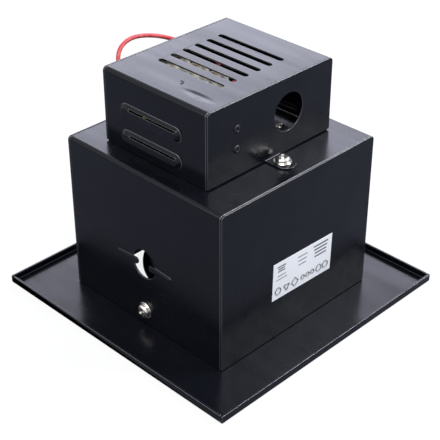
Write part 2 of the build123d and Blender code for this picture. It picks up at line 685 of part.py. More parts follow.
def lampholder():
    """Porcelain lampholder: body, neck through the can's top and two fixing ears."""
    body = upright(0, 0, HOLDER_Z, HOLDER_Z + HOLDER_H, HOLDER_R)
    body = fillet(body.edges().group_by(Axis.Z)[-1], 2.0)
    body += upright(0, 0, LAMP_BASE_TOP, HOLDER_Z + 1, HOLDER_NECK_R)
    body += extrude(Pos(0, 0, HOLDER_Z) * SlotOverall(HOLDER_EAR, 10), 5)
    for route in (TAIL_A, TAIL_B):
        x, y, z = route[-1]
        body += along_x(y, z, x + 0.3, -HOLDER_R / 2, 2.4)
    for sx in (-1, 1):
        body -= upright(sx * (HOLDER_EAR / 2 - 5), 0, HOLDER_Z - 1, HOLDER_Z + 6, RIVET_R + 0.1)
        body -= upright(sx * PIN_GAP / 2, 0, LAMP_BASE_TOP - 1, LAMP_BASE_TOP + PIN_LEN + 1, PIN_R + 0.15)
    return body


def holder_screws():
    """Two screws that hold the lampholder on the can."""
    one = screw(RIVET_R, 5 + CAN_T + 2.5, 2.8, 2.0)
    return [Pos(sx * (HOLDER_EAR / 2 - 5), 0, HOLDER_Z + 5) * one for sx in (-1, 1)]


def holder_nuts():
    """Nuts of the lampholder screws, inside the can."""
    one = hex_nut(5.5, RIVET_R, 2.4)
    return [Pos(sx * (HOLDER_EAR / 2 - 5), 0, CAN_TOP - CAN_T - 2.4) * one for sx in (-1, 1)]


def lamp_base():
    """Ceramic base of the plug-in lamp."""
    body = upright(0, 0, LAMP_BASE_TOP - LAMP_BASE_H, LAMP_BASE_TOP, LAMP_BASE_R)
    return fillet(body.edges().group_by(Axis.Z)[0], 1.5)


def lamp_pins():
    """Contact pins of the lamp."""
    return [upright(sx * PIN_GAP / 2, 0, LAMP_BASE_TOP, LAMP_BASE_TOP + PIN_LEN, PIN_R) for sx in (-1, 1)]


def lamp_bulb():
    """Tubular glass bulb, closed by a dome at its lower end."""
    top = LAMP_BASE_TOP - LAMP_BASE_H
    low = top - BULB_LEN
    def capsule(r, z0):
        return upright(0, 0, z0 + r, top, r) + Pos(0, 0, z0 + r) * Sphere(r)
    return capsule(BULB_R, low) - capsule(BULB_R - BULB_WALL, low + BULB_WALL)


def lamp_burner():
    """Ceramic burner inside the bulb, hung from the base."""
    top = LAMP_BASE_TOP - LAMP_BASE_H
    middle = top - BULB_LEN * 0.5
    body = upright(0, 0, middle - 4, middle + 4, 3.0)
    body = fillet(body.edges().filter_by(GeomType.CIRCLE), 1.2)
    return body + upright(0, 0, middle, top, 0.9) + upright(0, 0, middle - 8, middle, 0.9)


def rating_label():
    """Stuck-on rating label on the right panel."""
    ly, lz, t = LABEL
    return Pos(HALF + t / 2, LABEL_Y, LABEL_Z) * Rot(LABEL_TURN, 0, 0) * Box(t, ly, lz)


# ---------------------------------------------------------------- writing
def save(name, solids):
    """Writes one node; a list becomes a group of separate solids."""
    shape = Compound(children=[s for s in solids]) if isinstance(solids, list) else solids
    export_step(shape, f"parts/{name}.step")


def main():
    os.makedirs("parts", exist_ok=True)
    nodes = {
        "trim_tray": trim_tray(),
        "lamp_housing": lamp_housing(),
        "side_panel_right": side_panel(1),
        "side_panel_left": side_panel(-1),
        "wiring_cover": wiring_cover(),
        "end_plate_right": end_plate(1),
        "end_plate_left": end_plate(-1),
        "ear_screws": ear_screws(),
        "ear_washers": ear_washers(),
        "ear_nuts": ear_nuts(),
        "terminal_bracket": terminal_bracket(),
        "bracket_rivets": bracket_rivets(),
        "terminal_block": terminal_block(),
        "pole_tubes": pole_tubes(),
        "pole_screws": pole_screws(),
        "block_screws": block_screws(),
        "cord_clamp": cord_clamp(),
        "clamp_screws": clamp_screws(),
        "earth_screw": earth_screw(),
        "earth_eye": earth_eye(),
        "earth_lead": lead(EARTH),
        "side_grommets": grommets_side(),
        "top_grommets": grommets_top(),
        "lamp_lead_a": lead(LEAD_A),
        "lamp_lead_b": lead(LEAD_B),
        "lead_tail_a": lead(TAIL_A),
        "lead_tail_b": lead(TAIL_B),
        "pivot_screws": pivot_screws(),
        "pivot_washers": pivot_washers(),
        "friction_washers": pivot_springs(),
        "pivot_nuts": pivot_nuts(),
        "rating_label": rating_label(),
        "lamp_ring": lamp_ring(),
        "lamp_can": lamp_can(),
        "can_rivets": can_rivets(),
        "glass_gasket": glass_gasket(),
        "front_glass": front_glass(),
        "reflector": reflector(),
        "lampholder": lampholder(),
        "holder_screws": holder_screws(),
        "holder_nuts": holder_nuts(),
        "lamp_base": lamp_base(),
        "lamp_pins": lamp_pins(),
        "lamp_bulb": lamp_bulb(),
        "lamp_burner": lamp_burner(),
    }
    for name, solids in nodes.items():
        save(name, solids)


main()
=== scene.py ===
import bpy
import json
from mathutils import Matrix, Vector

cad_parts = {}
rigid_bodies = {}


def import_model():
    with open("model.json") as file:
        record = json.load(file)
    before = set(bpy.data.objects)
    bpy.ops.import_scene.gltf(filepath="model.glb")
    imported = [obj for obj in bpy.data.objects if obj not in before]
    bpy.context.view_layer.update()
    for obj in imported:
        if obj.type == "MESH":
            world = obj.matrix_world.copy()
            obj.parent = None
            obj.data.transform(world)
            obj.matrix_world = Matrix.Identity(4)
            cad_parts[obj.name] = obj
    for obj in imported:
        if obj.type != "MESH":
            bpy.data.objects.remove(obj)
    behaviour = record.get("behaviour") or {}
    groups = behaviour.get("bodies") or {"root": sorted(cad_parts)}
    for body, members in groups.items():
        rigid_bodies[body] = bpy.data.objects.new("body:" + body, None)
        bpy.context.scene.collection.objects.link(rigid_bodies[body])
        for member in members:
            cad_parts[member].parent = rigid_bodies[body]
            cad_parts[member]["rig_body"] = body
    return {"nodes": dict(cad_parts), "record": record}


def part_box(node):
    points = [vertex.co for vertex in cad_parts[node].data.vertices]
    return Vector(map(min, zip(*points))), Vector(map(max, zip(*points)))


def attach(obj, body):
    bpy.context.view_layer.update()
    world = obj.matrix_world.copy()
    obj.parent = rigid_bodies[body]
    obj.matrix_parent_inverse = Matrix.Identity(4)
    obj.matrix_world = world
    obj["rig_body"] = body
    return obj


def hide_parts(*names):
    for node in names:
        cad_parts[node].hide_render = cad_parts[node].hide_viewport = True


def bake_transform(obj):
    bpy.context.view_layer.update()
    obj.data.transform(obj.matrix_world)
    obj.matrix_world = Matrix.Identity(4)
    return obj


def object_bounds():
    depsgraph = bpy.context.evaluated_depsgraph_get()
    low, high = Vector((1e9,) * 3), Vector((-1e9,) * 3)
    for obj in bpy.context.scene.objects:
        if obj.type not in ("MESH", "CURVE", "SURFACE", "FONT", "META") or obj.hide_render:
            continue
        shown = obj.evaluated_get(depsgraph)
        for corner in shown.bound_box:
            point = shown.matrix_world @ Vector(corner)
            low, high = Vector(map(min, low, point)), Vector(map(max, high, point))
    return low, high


bl_info = {
    "name": "Recessed downlight",
    "version": (1, 0, 0),
    "blender": (4, 5, 0),
    "location": "View3D > Sidebar > Downlight",
    "description": "Finishes, fasteners, leads and label of a square recessed downlight, round its CAD frame",
    "category": "Add Mesh",
}

import json
from math import cos, pi, radians, sin

import bmesh
import bpy
from mathutils import Matrix, Vector
from bpy.props import FloatProperty, FloatVectorProperty, IntProperty, PointerProperty

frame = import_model()
CAD_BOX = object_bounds()
NODES = frame["nodes"]
MM = 0.001
# Small dents in the wiring cover: place, reach and depth.
COVER_DENTS = (((0.0022, -0.0312, 0.1461), (0.0016, 0.0009, 0.004), 0.55 * MM),
               ((0.0040, -0.0330, 0.1461), (0.0010, 0.0020, 0.004), 0.45 * MM),
               ((0.0200, -0.0370, 0.1461), (0.0150, 0.0035, 0.006), 0.50 * MM))

# Lengths of the two lamp leads along their routes.
LEAD_A_LENGTH, LEAD_B_LENGTH = 0.141, 0.129
# Routes of the leads: from terminal to grommet, from grommet to lampholder, and to earth.
LEAD_A = [(-0.015, 0.002, 0.131), (-0.015, 0.0115, 0.1315), (-0.021, 0.020, 0.133),
          (-0.033, 0.022, 0.1343), (-0.047, 0.022, 0.1343), (-0.057, 0.015, 0.1385),
          (-0.0625, 0.003, 0.1423), (-0.063, -0.011, 0.1445), (-0.060, -0.0225, 0.141),
          (-0.055, -0.026, 0.131), (-0.052, -0.026, 0.114), (-0.052, -0.026, 0.098)]
LEAD_B = [(0.0, 0.002, 0.131), (0.0, 0.0125, 0.130), (-0.007, 0.023, 0.1265), (-0.019, 0.0285, 0.123),
          (-0.033, 0.028, 0.1215), (-0.048, 0.028, 0.1215), (-0.057, 0.018, 0.1225), (-0.059, 0.004, 0.124),
          (-0.0575, -0.009, 0.121), (-0.052, -0.015, 0.1105), (-0.052, -0.015, 0.098)]
TAIL_A = [(-0.052, -0.026, 0.098), (-0.052, -0.026, 0.087), (-0.046, -0.019, 0.0805), (-0.032, -0.005, 0.081),
          (-0.0173, -0.005, 0.081)]
TAIL_B = [(-0.052, -0.015, 0.098), (-0.052, -0.015, 0.087), (-0.046, -0.008, 0.0805), (-0.032, 0.005, 0.081),
          (-0.0173, 0.005, 0.081)]
EARTH = [(-0.030, -0.022, 0.131), (-0.030, -0.031, 0.1305), (-0.024, -0.0395, 0.124),
         (-0.013, -0.0415, 0.1145), (-0.002, -0.038, 0.108), (0.0055, -0.034, 0.104), (0.0142, -0.034, 0.104)]

# Heads, shanks and bores of the fasteners; a rivet is its shank radius, head radius and head height.
M4_HEAD, M4_SHANK = 2.7 * MM, 2.0 * MM
M3_HEAD, M3_SHANK = 2.0 * MM, 1.5 * MM
EAR_SCREW_SHANK = 10.0 * MM
EARTH_HEAD_R, EARTH_HEAD, EARTH_SHANK = 3.6 * MM, 2.4 * MM, 8.0 * MM
WASHER_BORE, WASHER_EDGE = 2.1 * MM, 0.16 * MM
BRACKET_RIVET = (1.5 * MM, 2.4 * MM, 0.7 * MM)
CAN_RIVET = (1.2 * MM, 1.7 * MM, 0.6 * MM)
CAN_MANDREL = 0.5 * MM

# The label's small turn, and how high its ink stands.
LABEL_TURN = radians(-1.6)
INK_LIFT, INK_THICKNESS = 0.008 * MM, 0.02 * MM
RING_STROKE = 0.95 * MM
SHORTEST_BAR = 0.72
# Blocks of bars: ink, rows, middle, top row, row pitch and length in millimetres, share of the line height.
PRINT_BLOCKS = (("label_ink", 4, 15.0, 9.2, 2.3, 13.5, 1.0),
                ("label_ink_faint", 3, -0.5, 8.2, 2.7, 8.5, 0.8),
                ("label_ink", 3, -18.0, 9.0, 1.5, 7.0, 0.85),
                ("label_ink_faint", 2, -17.6, 3.0, 2.3, 9.0, 0.7))
# Marks of the lower row: name, sides, radius and places along the label in millimetres.
MARKS_HEIGHT = -6.6 * MM
PRINT_MARKS = (("rings", 32, 2.2, (-20.2, 14.2, 19.8)), ("square", 4, 2.9, (-6.2,)),
               ("triangle", 3, 2.6, (-13.2,)), ("small_rings", 24, 1.4, (0.5, 4.6, 8.7)))

# The camera's place, and its turn down and round in degrees.
CAMERA_PLACE = (0.40610, -0.41060, 0.41376)
CAMERA_DOWN, CAMERA_ROUND = 32.586, 44.737
# How strong the world's light is on the object, half the floor's side and its gap below the object.
WORLD_FILL = 0.42
FLOOR_HALF, FLOOR_GAP = 4.0, 0.2 * MM
# Soft lights: place, the point they face, size and colour.
LIGHTS = {
    "back_light": ((-0.90, 1.00, 0.72), (0.0, 0.0, 0.12), (2.2, 0.54), (0.78, 0.80, 1.0)),
    "side_light": ((0.70, 0.78, 0.86), (0.03, 0.0, 0.05), (0.5, 0.5), (0.90, 0.93, 1.0)),
    "fill_light": ((-0.35, -1.35, 0.75), (0.0, 0.0, 0.05), (1.1, 0.8), (0.88, 0.92, 1.0)),
    "top_light": ((0.35, -0.38, 1.25), (0.0, 0.0, 0.12), (0.5, 0.5), (0.95, 0.97, 1.0))}


# ---------------------------------------------------------------- sizes and colours a user may change
class DownlightFinish(bpy.types.PropertyGroup):
    coat: FloatVectorProperty(
        name="Powder coat", description="Colour of the powder coat", subtype="COLOR",
        default=(0.0030, 0.0034, 0.0058), min=0, max=1)
    coat_roughness: FloatProperty(
        name="Coat roughness", description="Roughness of the powder coat", subtype="FACTOR",
        default=0.23, min=0, max=1)
    edge_round: FloatProperty(
        name="Edge round", description="Rounding of the sheets' cut edges", unit="LENGTH",
        default=0.22 * MM, min=0.05 * MM, max=0.4 * MM)
    lead_colour: FloatVectorProperty(
        name="Lead insulation", description="Colour of the silicone on the lamp leads", subtype="COLOR",
        default=(0.46, 0.030, 0.036), min=0, max=1)
    lead_diameter: FloatProperty(
        name="Lead diameter", description="Outside diameter of the lamp leads", unit="LENGTH",
        default=2.6 * MM, min=1 * MM, max=5 * MM)


class DownlightFasteners(bpy.types.PropertyGroup):
    dome: FloatProperty(
        name="Head dome", description="Share of a pan head's height that is domed", subtype="FACTOR",
        default=0.62, min=0.2, max=0.95)
    recess: FloatProperty(
        name="Cross recess", description="Length of the cross recess over the head's diameter",
        subtype="FACTOR", default=0.60, min=0.3, max=0.8)
    segments: IntProperty(
        name="Segments", description="Facets round a fastener", default=48, min=12, max=96)
    mandrel: FloatProperty(
        name="Mandrel hole", description="Radius of the hole left in a blind rivet", unit="LENGTH",
        default=0.8 * MM, min=0.2 * MM, max=1.2 * MM)


class DownlightLabel(bpy.types.PropertyGroup):
    line_height: FloatProperty(
        name="Line height", description="Height of one printed bar", unit="LENGTH",
        default=1.0 * MM, min=0.3 * MM, max=3 * MM)
    seed: IntProperty(name="Seed", description="Seed of the bars' lengths", default=7)


class DownlightStage(bpy.types.PropertyGroup):
    back_light: FloatProperty(
        name="Back light", description="Power of the large soft light behind", unit="POWER",
        default=18.0, min=0)
    side_light: FloatProperty(
        name="Side light", description="Power of the soft light on the label's side", unit="POWER",
        default=16.0, min=0)
    fill_light: FloatProperty(
        name="Fill light", description="Power of the soft light on the spring seat's side", unit="POWER",
        default=10.0, min=0)
    top_light: FloatProperty(
        name="Top light", description="Power of the soft light above the camera", unit="POWER",
        default=12.0, min=0)
    lens: FloatProperty(
        name="Lens", description="Focal length on a 36 mm sensor, in millimetres", default=95.10, min=10)


# ---------------------------------------------------------------- shader maths
class Value:
    """A socket of a material; arithmetic on it adds Math nodes."""

    def __init__(self, paint, socket):
        self.paint = paint
        self.socket = socket

    def _math(self, operation, first, second):
        return self.paint.add("ShaderNodeMath", {"operation": operation}, {0: first, 1: second})

    def __add__(self, other):
        return self._math("ADD", self, other)

    def __radd__(self, other):
        return self._math("ADD", other, self)

    def __sub__(self, other):
        return self._math("SUBTRACT", self, other)

    def __mul__(self, other):
        return self._math("MULTIPLY", self, other)


class Paint:
    """A material under construction."""

    def __init__(self, name):
        self.material = bpy.data.materials.new(name)
        self.material.use_nodes = True
        self.tree = self.material.node_tree
        self.tree.nodes.clear()

    def add(self, kind, settings=None, sockets=None, out=0):
        """Adds a node: its settings first, then the values or links of its sockets."""
        node = self.tree.nodes.new(kind)
        for key, value in (settings or {}).items():
            if key == "stops":
                ramp = node.color_ramp
                for element, (at, grey) in zip(ramp.elements, value):
                    element.position = at
                    element.color = (grey, grey, grey, 1)
            else:
                setattr(node, key, value)
        for key, value in (sockets or {}).items():
            if isinstance(value, Value):
                self.tree.links.new(value.socket, node.inputs[key])
            else:
                node.inputs[key].default_value = value
        return Value(self, node.outputs[out])

    def place(self):
        return self.add("ShaderNodeTexCoord", out=3)

    def noise(self, scale, detail=2.0, at=None, stretch=None):
        """Noise between 0 and 1; scale is in patches a metre, stretch squeezes it along X, Y and Z."""
        at = at or self.place()
        if stretch:
            at = self.add("ShaderNodeMapping", None, {"Vector": at, "Scale": stretch})
        return self.add("ShaderNodeTexNoise", None, {"Vector": at, "Scale": scale, "Detail": detail})

    def above(self, value, low, high):
        """0 below low, 1 above high."""
        return self.add("ShaderNodeMapRange", {"interpolation_type": "SMOOTHSTEP"},
                        {"Value": value, "From Min": low, "From Max": high})

    def near(self, spot, reach):
        """1 at a spot, 0 from its reach on; the reach is given along X, Y and Z."""
        at = self.add("ShaderNodeVectorMath", {"operation": "SUBTRACT"}, {0: self.place(), 1: spot})
        at = self.add("ShaderNodeVectorMath", {"operation": "DIVIDE"}, {0: at, 1: reach})
        off = self.add("ShaderNodeVectorMath", {"operation": "LENGTH"}, {0: at}, out="Value")
        return self.add("ShaderNodeMapRange", {"interpolation_type": "SMOOTHSTEP"},
                        {"Value": off, "From Min": 0.0, "From Max": 1.0, "To Min": 1.0, "To Max": 0.0})

    def mix(self, share, first, second):
        """A colour between two colours."""
        return self.add("ShaderNodeMix", {"data_type": "RGBA"}, {0: share, 6: first, 7: second}, out=2)

    def bump(self, height, depth, strength=1.0):
        return self.add("ShaderNodeBump", None, {"Height": height, "Distance": depth, "Strength": strength})

    def finish(self, **sockets):
        """Ends the material in a Principled shader and gives it back."""
        names = {key.replace("_", " "): value for key, value in sockets.items()}
        surface = self.add("ShaderNodeBsdfPrincipled", None, names)
        out = self.tree.nodes.new("ShaderNodeOutputMaterial")
        self.tree.links.new(surface.socket, out.inputs["Surface"])
        return self.material


def rgba(colour):
    return (*colour, 1.0)


def powder_coat(name, colour, roughness, peel_depth, specular, wave=0.0, dents=()):
    """Satin powder coat: orange peel, faint clouds, streaks, specks of dust, slow waves and small dents."""
    p = Paint(name)
    clouds = p.noise(16, 3)
    waves = p.noise(30, 1, stretch=(0.35, 1, 1))
    streaks = p.noise(150, 3, stretch=(0.12, 1, 0.5))
    peel = p.noise(1150, 1.5)
    grain = p.noise(5200, 1)
    dust = p.above(p.noise(2600, 0), 0.765, 0.80) * p.above(p.noise(90, 2), 0.50, 0.62)
    relief = (peel * 0.7 + grain * 0.3) * peel_depth + waves * wave
    for spot, reach, depth in dents:
        relief = relief - p.near(spot, reach) * depth
    base = p.mix(dust * 0.4, rgba(colour), (0.11, 0.11, 0.115, 1))
    rough = roughness + (clouds - 0.5) * 0.14 + (streaks - 0.5) * 0.22 + (peel - 0.5) * 0.08 + dust * 0.25
    return p.finish(Base_Color=base, Roughness=rough, Specular_IOR_Level=specular,
                    Normal=p.bump(relief, 1.0, 0.8))


def plated(name, colour, roughness, streak):
    """Bright plating: fine turned marks, handling haze and darker pits."""
    p = Paint(name)
    haze = p.noise(420, 3)
    marks = p.noise(5200, 1, stretch=(1, 1, 6))
    base = p.mix(p.above(haze, 0.35, 0.75), rgba([c * 0.80 for c in colour]), rgba(colour))
    rough = roughness + haze * 0.10 + marks * streak
    return p.finish(Base_Color=base, Metallic=1.0, Roughness=rough,
                    Normal=p.bump(marks, 0.006 * MM, 0.5))


def zinc(name):
    """Dull zinc plate with its rolled grain and pale bloom."""
    p = Paint(name)
    bloom = p.noise(140, 4)
    grain = p.noise(900, 2, stretch=(0.08, 1, 1))
    base = p.mix(bloom, (0.42, 0.43, 0.44, 1), (0.66, 0.66, 0.64, 1))
    return p.finish(Base_Color=base, Metallic=1.0, Roughness=0.30 + grain * 0.22,
                    Normal=p.bump(grain, 0.01 * MM, 0.5))


def porcelain(name, colour):
    """Glazed steatite: cream body, tiny iron specks, slightly wavy glaze."""
    p = Paint(name)
    specks = p.above(p.noise(1900, 0), 0.74, 0.79)
    warm = p.noise(60, 2)
    base = p.mix(warm, rgba(colour), rgba([colour[0], colour[1] * 0.97, colour[2] * 0.90]))
    base = p.mix(specks * 0.6, base, (0.32, 0.24, 0.17, 1))
    return p.finish(Base_Color=base, Roughness=0.20 + warm * 0.12, Coat_Weight=0.5, Coat_Roughness=0.08,
                    Normal=p.bump(p.noise(520, 2), 0.03 * MM, 0.4))


def brass(name):
    """Turned brass, tarnished in patches."""
    p = Paint(name)
    tarnish = p.noise(260, 4)
    rings = p.noise(2400, 1, stretch=(1, 0.1, 1))
    base = p.mix(p.above(tarnish, 0.45, 0.75), (0.80, 0.58, 0.25, 1), (0.46, 0.30, 0.13, 1))
    return p.finish(Base_Color=base, Metallic=1.0, Roughness=0.22 + tarnish * 0.18 + rings * 0.08,
                    Normal=p.bump(rings, 0.01 * MM, 0.5))


def moulded(name, colour, roughness, depth):
    """Moulded plastic or rubber with a fine spark-eroded grain."""
    p = Paint(name)
    grain = p.noise(3000, 2)
    wear = p.noise(110, 3)
    base = p.mix(p.above(wear, 0.5, 0.8) * 0.5, rgba(colour), rgba([min(1, c * 1.5 + 0.01) for c in colour]))
    return p.finish(Base_Color=base, Roughness=roughness + (wear - 0.5) * 0.15,
                    Normal=p.bump(grain, depth, 0.6))


def silicone_sleeve(name, colour):
    """Matt silicone insulation: lengthwise flow marks, chalky bloom, a little light inside."""
    p = Paint(name)
    bloom = p.noise(230, 3)
    skin = p.noise(3600, 2)
    base = p.mix(p.above(bloom, 0.45, 0.80) * 0.35, rgba(colour), (0.80, 0.22, 0.18, 1))
    return p.finish(Base_Color=base, Roughness=0.40 + bloom * 0.18, Subsurface_Weight=0.12,
                    Subsurface_Radius=(0.0012, 0.0003, 0.0002), Sheen_Weight=0.15,
                    Normal=p.bump(skin, 0.02 * MM, 0.5))


def earth_sleeve(name):
    """Green insulation with yellow stripes along the core."""
    p = Paint(name)
    around = p.add("ShaderNodeUVMap", {"uv_map": "along"})
    split = p.add("ShaderNodeSeparateXYZ", None, {0: around})
    bands = p.add("ShaderNodeMath", {"operation": "SINE"}, {0: split * (4 * pi)})
    base = p.mix(p.above(bands, 0.15, 0.30), (0.02, 0.22, 0.04, 1), (0.75, 0.62, 0.03, 1))
    return p.finish(Base_Color=base, Roughness=0.34 + p.noise(400) * 0.12,
                    Normal=p.bump(p.noise(3000), 0.01 * MM, 0.4))


def label_film(name):
    """White polyester film with a faint sheen and soft clouds of paler and greyer white."""
    p = Paint(name)
    cloud = p.noise(75, 3)
    base = p.mix(cloud, (0.80, 0.815, 0.83, 1), (0.87, 0.88, 0.885, 1))
    return p.finish(Base_Color=base, Roughness=0.34 + cloud * 0.12,
                    Normal=p.bump(p.noise(1500), 0.004 * MM, 0.5))


def printed_ink(name, grey):
    """Thermal print: dark, with pale dropouts."""
    p = Paint(name)
    gaps = p.above(p.noise(3400, 1), 0.56, 0.66)
    base = p.mix(gaps * 0.55, (grey, grey, grey * 1.05, 1), (0.72, 0.73, 0.74, 1))
    return p.finish(Base_Color=base, Roughness=0.45 + gaps * 0.1)


def clear_glass(name, tint, roughness):
    """Clear glass with a trace of handling haze."""
    p = Paint(name)
    haze = p.noise(120, 3)
    return p.finish(Base_Color=rgba(tint), Roughness=roughness + p.above(haze, 0.6, 0.8) * 0.03,
                    Transmission_Weight=1.0, IOR=1.5)


def spun_aluminium(name):
    """Polished and anodised aluminium with spinning marks and dimples."""
    p = Paint(name)
    dimple = p.add("ShaderNodeTexVoronoi", {"feature": "SMOOTH_F1"}, {"Vector": p.place(), "Scale": 230.0})
    marks = p.noise(2600, 1, stretch=(0.2, 0.2, 4))
    haze = p.noise(60, 2)
    base = p.mix(haze, (0.84, 0.84, 0.85, 1), (0.92, 0.92, 0.93, 1))
    return p.finish(Base_Color=base, Metallic=1.0, Roughness=0.10 + marks * 0.10 + haze * 0.04,
                    Normal=p.bump(dimple * 0.9 + marks * 0.1, 0.5 * MM, 0.5))


def milky(name, colour, roughness, inner):
    """Translucent ceramic or silicone."""
    p = Paint(name)
    cloud = p.noise(300, 3)
    base = p.mix(cloud, rgba(colour), rgba([c * 0.93 for c in colour]))
    return p.finish(Base_Color=base, Roughness=roughness + cloud * 0.1, Subsurface_Weight=inner,
                    Subsurface_Radius=(0.002, 0.0015, 0.001), Normal=p.bump(cloud, 0.02 * MM, 0.4))


def make_materials(finish):
    """One material for each material slot of the record, and those of the added detail."""
    coat = tuple(finish.coat)
    return {
        "black_powder_coat": powder_coat("black_powder_coat", coat, finish.coat_roughness, 0.018 * MM, 0.21,
                                         1.10 * MM),
        "cover_coat": powder_coat("cover_coat", coat, finish.coat_roughness, 0.018 * MM, 0.21, 1.70 * MM,
                                  COVER_DENTS),
        # Rounded cut edges: a paler, glossier coat, partly thinner paint at the edge and partly a painted
        # highlight that lightens the edge lines.
        "cut_edge": powder_coat("cut_edge", (0.040, 0.041, 0.047), 0.24, 0.002 * MM, 0.9),
        "black_rivets": powder_coat("black_rivets", (0.004, 0.004, 0.006), 0.14, 0.003 * MM, 0.6),
        "plated_steel": plated("plated_steel", (0.80, 0.77, 0.73), 0.12, 0.08),
        "zinc_steel": zinc("zinc_steel"),
        "porcelain": porcelain("porcelain", (0.88, 0.85, 0.77)),
        "brass": brass("brass"),
        "black_plastic": moulded("black_plastic", (0.018, 0.018, 0.019), 0.42, 0.03 * MM),
        "earth_sleeve": earth_sleeve("earth_sleeve"),
        "black_rubber": moulded("black_rubber", (0.012, 0.012, 0.012), 0.58, 0.04 * MM),
        "red_silicone": silicone_sleeve("red_silicone", tuple(finish.lead_colour)),
        "label_film": label_film("label_film"),
        "label_ink": printed_ink("label_ink", 0.05),
        "label_ink_faint": printed_ink("label_ink_faint", 0.22),
        "white_silicone": milky("white_silicone", (0.82, 0.82, 0.80), 0.45, 0.3),
        "clear_glass": clear_glass("clear_glass", (0.97, 0.985, 0.98), 0.0),
        "polished_aluminium": spun_aluminium("polished_aluminium"),
        "burner_ceramic": milky("burner_ceramic", (0.90, 0.88, 0.83), 0.30, 0.4),
    }


MATERIALS = {}
SLOT_OF = {s["node"]: s["material_slot"] for s in frame["record"]["subparts"]}


# ---------------------------------------------------------------- mesh helpers
def link(name, data):
    piece = bpy.data.objects.new(name, data)
    bpy.context.scene.collection.objects.link(piece)
    return piece


def plain(piece, name):
    """The piece with its modifiers applied, as a new plain object; the old one goes."""
    graph = bpy.context.evaluated_depsgraph_get()
    data = bpy.data.meshes.new_from_object(
        piece.evaluated_get(graph), preserve_all_data_layers=True, depsgraph=graph)
    bpy.data.objects.remove(piece)
    data.name = name
    return link(name, data)


def belongs(piece, node, body=None):
    """The piece stands for a CAD node: it joins that node's body, unless another body is given, and the node
    is hidden.
    """
    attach(piece, body or NODES[node]["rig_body"])
    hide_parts(node)
    return piece


def clean_mesh(node, name):
    """A copy of a CAD node's mesh: doubles merged, flat areas as single faces."""
    mesh = bpy.data.meshes.new(name)
    bm = bmesh.new()
    bm.from_mesh(NODES[node].data)
    bmesh.ops.remove_doubles(bm, verts=bm.verts, dist=0.001 * MM)
    bmesh.ops.dissolve_limit(bm, angle_limit=radians(1.0), verts=bm.verts, edges=bm.edges)
    bmesh.ops.delete(bm, geom=[v for v in bm.verts if not v.link_faces], context="VERTS")
    bm.to_mesh(mesh)
    bm.free()
    return mesh


def smooth(mesh, angle=42):
    mesh.shade_smooth()
    mesh.set_sharp_from_angle(angle=radians(angle))


def softened(node, name, edge, coat, edge_highlight_coat=None, sharp=32, rounds=2):
    """A CAD node with its sharp edges rounded; the rounded faces may take another material, on the sheets a
    paler coat that is partly thinner paint and partly a painted highlight.
    """
    mesh = clean_mesh(node, name)
    mesh.materials.clear()
    mesh.materials.append(MATERIALS[coat])
    mesh.materials.append(MATERIALS[edge_highlight_coat or coat])
    for face in mesh.polygons:
        face.material_index = 0
    piece = link(name + "_raw", mesh)
    bevel = piece.modifiers.new("edges", "BEVEL")
    bevel.width = edge
    bevel.segments = rounds
    bevel.limit_method = "ANGLE"
    bevel.angle_limit = radians(sharp)
    bevel.use_clamp_overlap = False
    bevel.material = 1
    piece = plain(piece, name)
    smooth(piece.data)
    weigh = piece.modifiers.new("flat faces", "WEIGHTED_NORMAL")
    weigh.keep_sharp = True
    piece = plain(piece, name)
    return belongs(piece, node)


def islands(node):
    """The lowest and highest corners of each separate solid of a CAD node, in order along X, Y and Z."""
    bm = bmesh.new()
    bm.from_mesh(NODES[node].data)
    bmesh.ops.remove_doubles(bm, verts=bm.verts, dist=0.001 * MM)
    left = set(bm.verts)
    boxes = []
    while left:
        reach = [left.pop()]
        group = []
        while reach:
            here = reach.pop()
            group.append(here.co.copy())
            for edge in here.link_edges:
                other = edge.other_vert(here)
                if other in left:
                    left.remove(other)
                    reach.append(other)
        low = Vector([min(c[i] for c in group) for i in range(3)])
        high = Vector([max(c[i] for c in group) for i in range(3)])
        boxes.append((low, high))
    bm.free()
    return sorted(boxes, key=lambda b: tuple(round(c, 4) for c in b[0]))


def turned(profile, segments):
    """A closed solid of revolution about Z, from (radius, height) points that end on the axis or meet."""
    bm = bmesh.new()
    closed = profile[0][0] > 0
    points = profile + profile[:1] if closed else profile
    verts = [bm.verts.new((r, 0, z)) for r, z in points]
    edges = [bm.edges.new(pair) for pair in zip(verts, verts[1:])]
    bmesh.ops.spin(bm, geom=verts + edges, angle=2 * pi, steps=segments, axis=(0, 0, 1), cent=(0, 0, 0),
                   use_merge=True)
    bmesh.ops.remove_doubles(bm, verts=bm.verts, dist=0.0005 * MM)
    bmesh.ops.recalc_face_normals(bm, faces=bm.faces)
    return bm


def dome(r, h, share, steps=6):
    """Points of a pan head's outline from its rim up to the axis."""
    rise = h * share
    flat = r * 0.42
    rim = h - rise
    points = [(r, 0.12 * h), (r, rim)]
    for i in range(1, steps + 1):
        a = pi / 2 * i / steps
        points.append((flat + (r - flat) * cos(a), rim + rise * sin(a)))
    return points + [(0, h)]


def cut(piece, tool, name):
    """The piece less the tool, with the tool's faces kept clean."""
    cutter = piece.modifiers.new("recess", "BOOLEAN")
    cutter.operation = "DIFFERENCE"
    cutter.solver = "EXACT"
    cutter.object = tool
    piece = plain(piece, name)
    bpy.data.objects.remove(tool)
    return piece


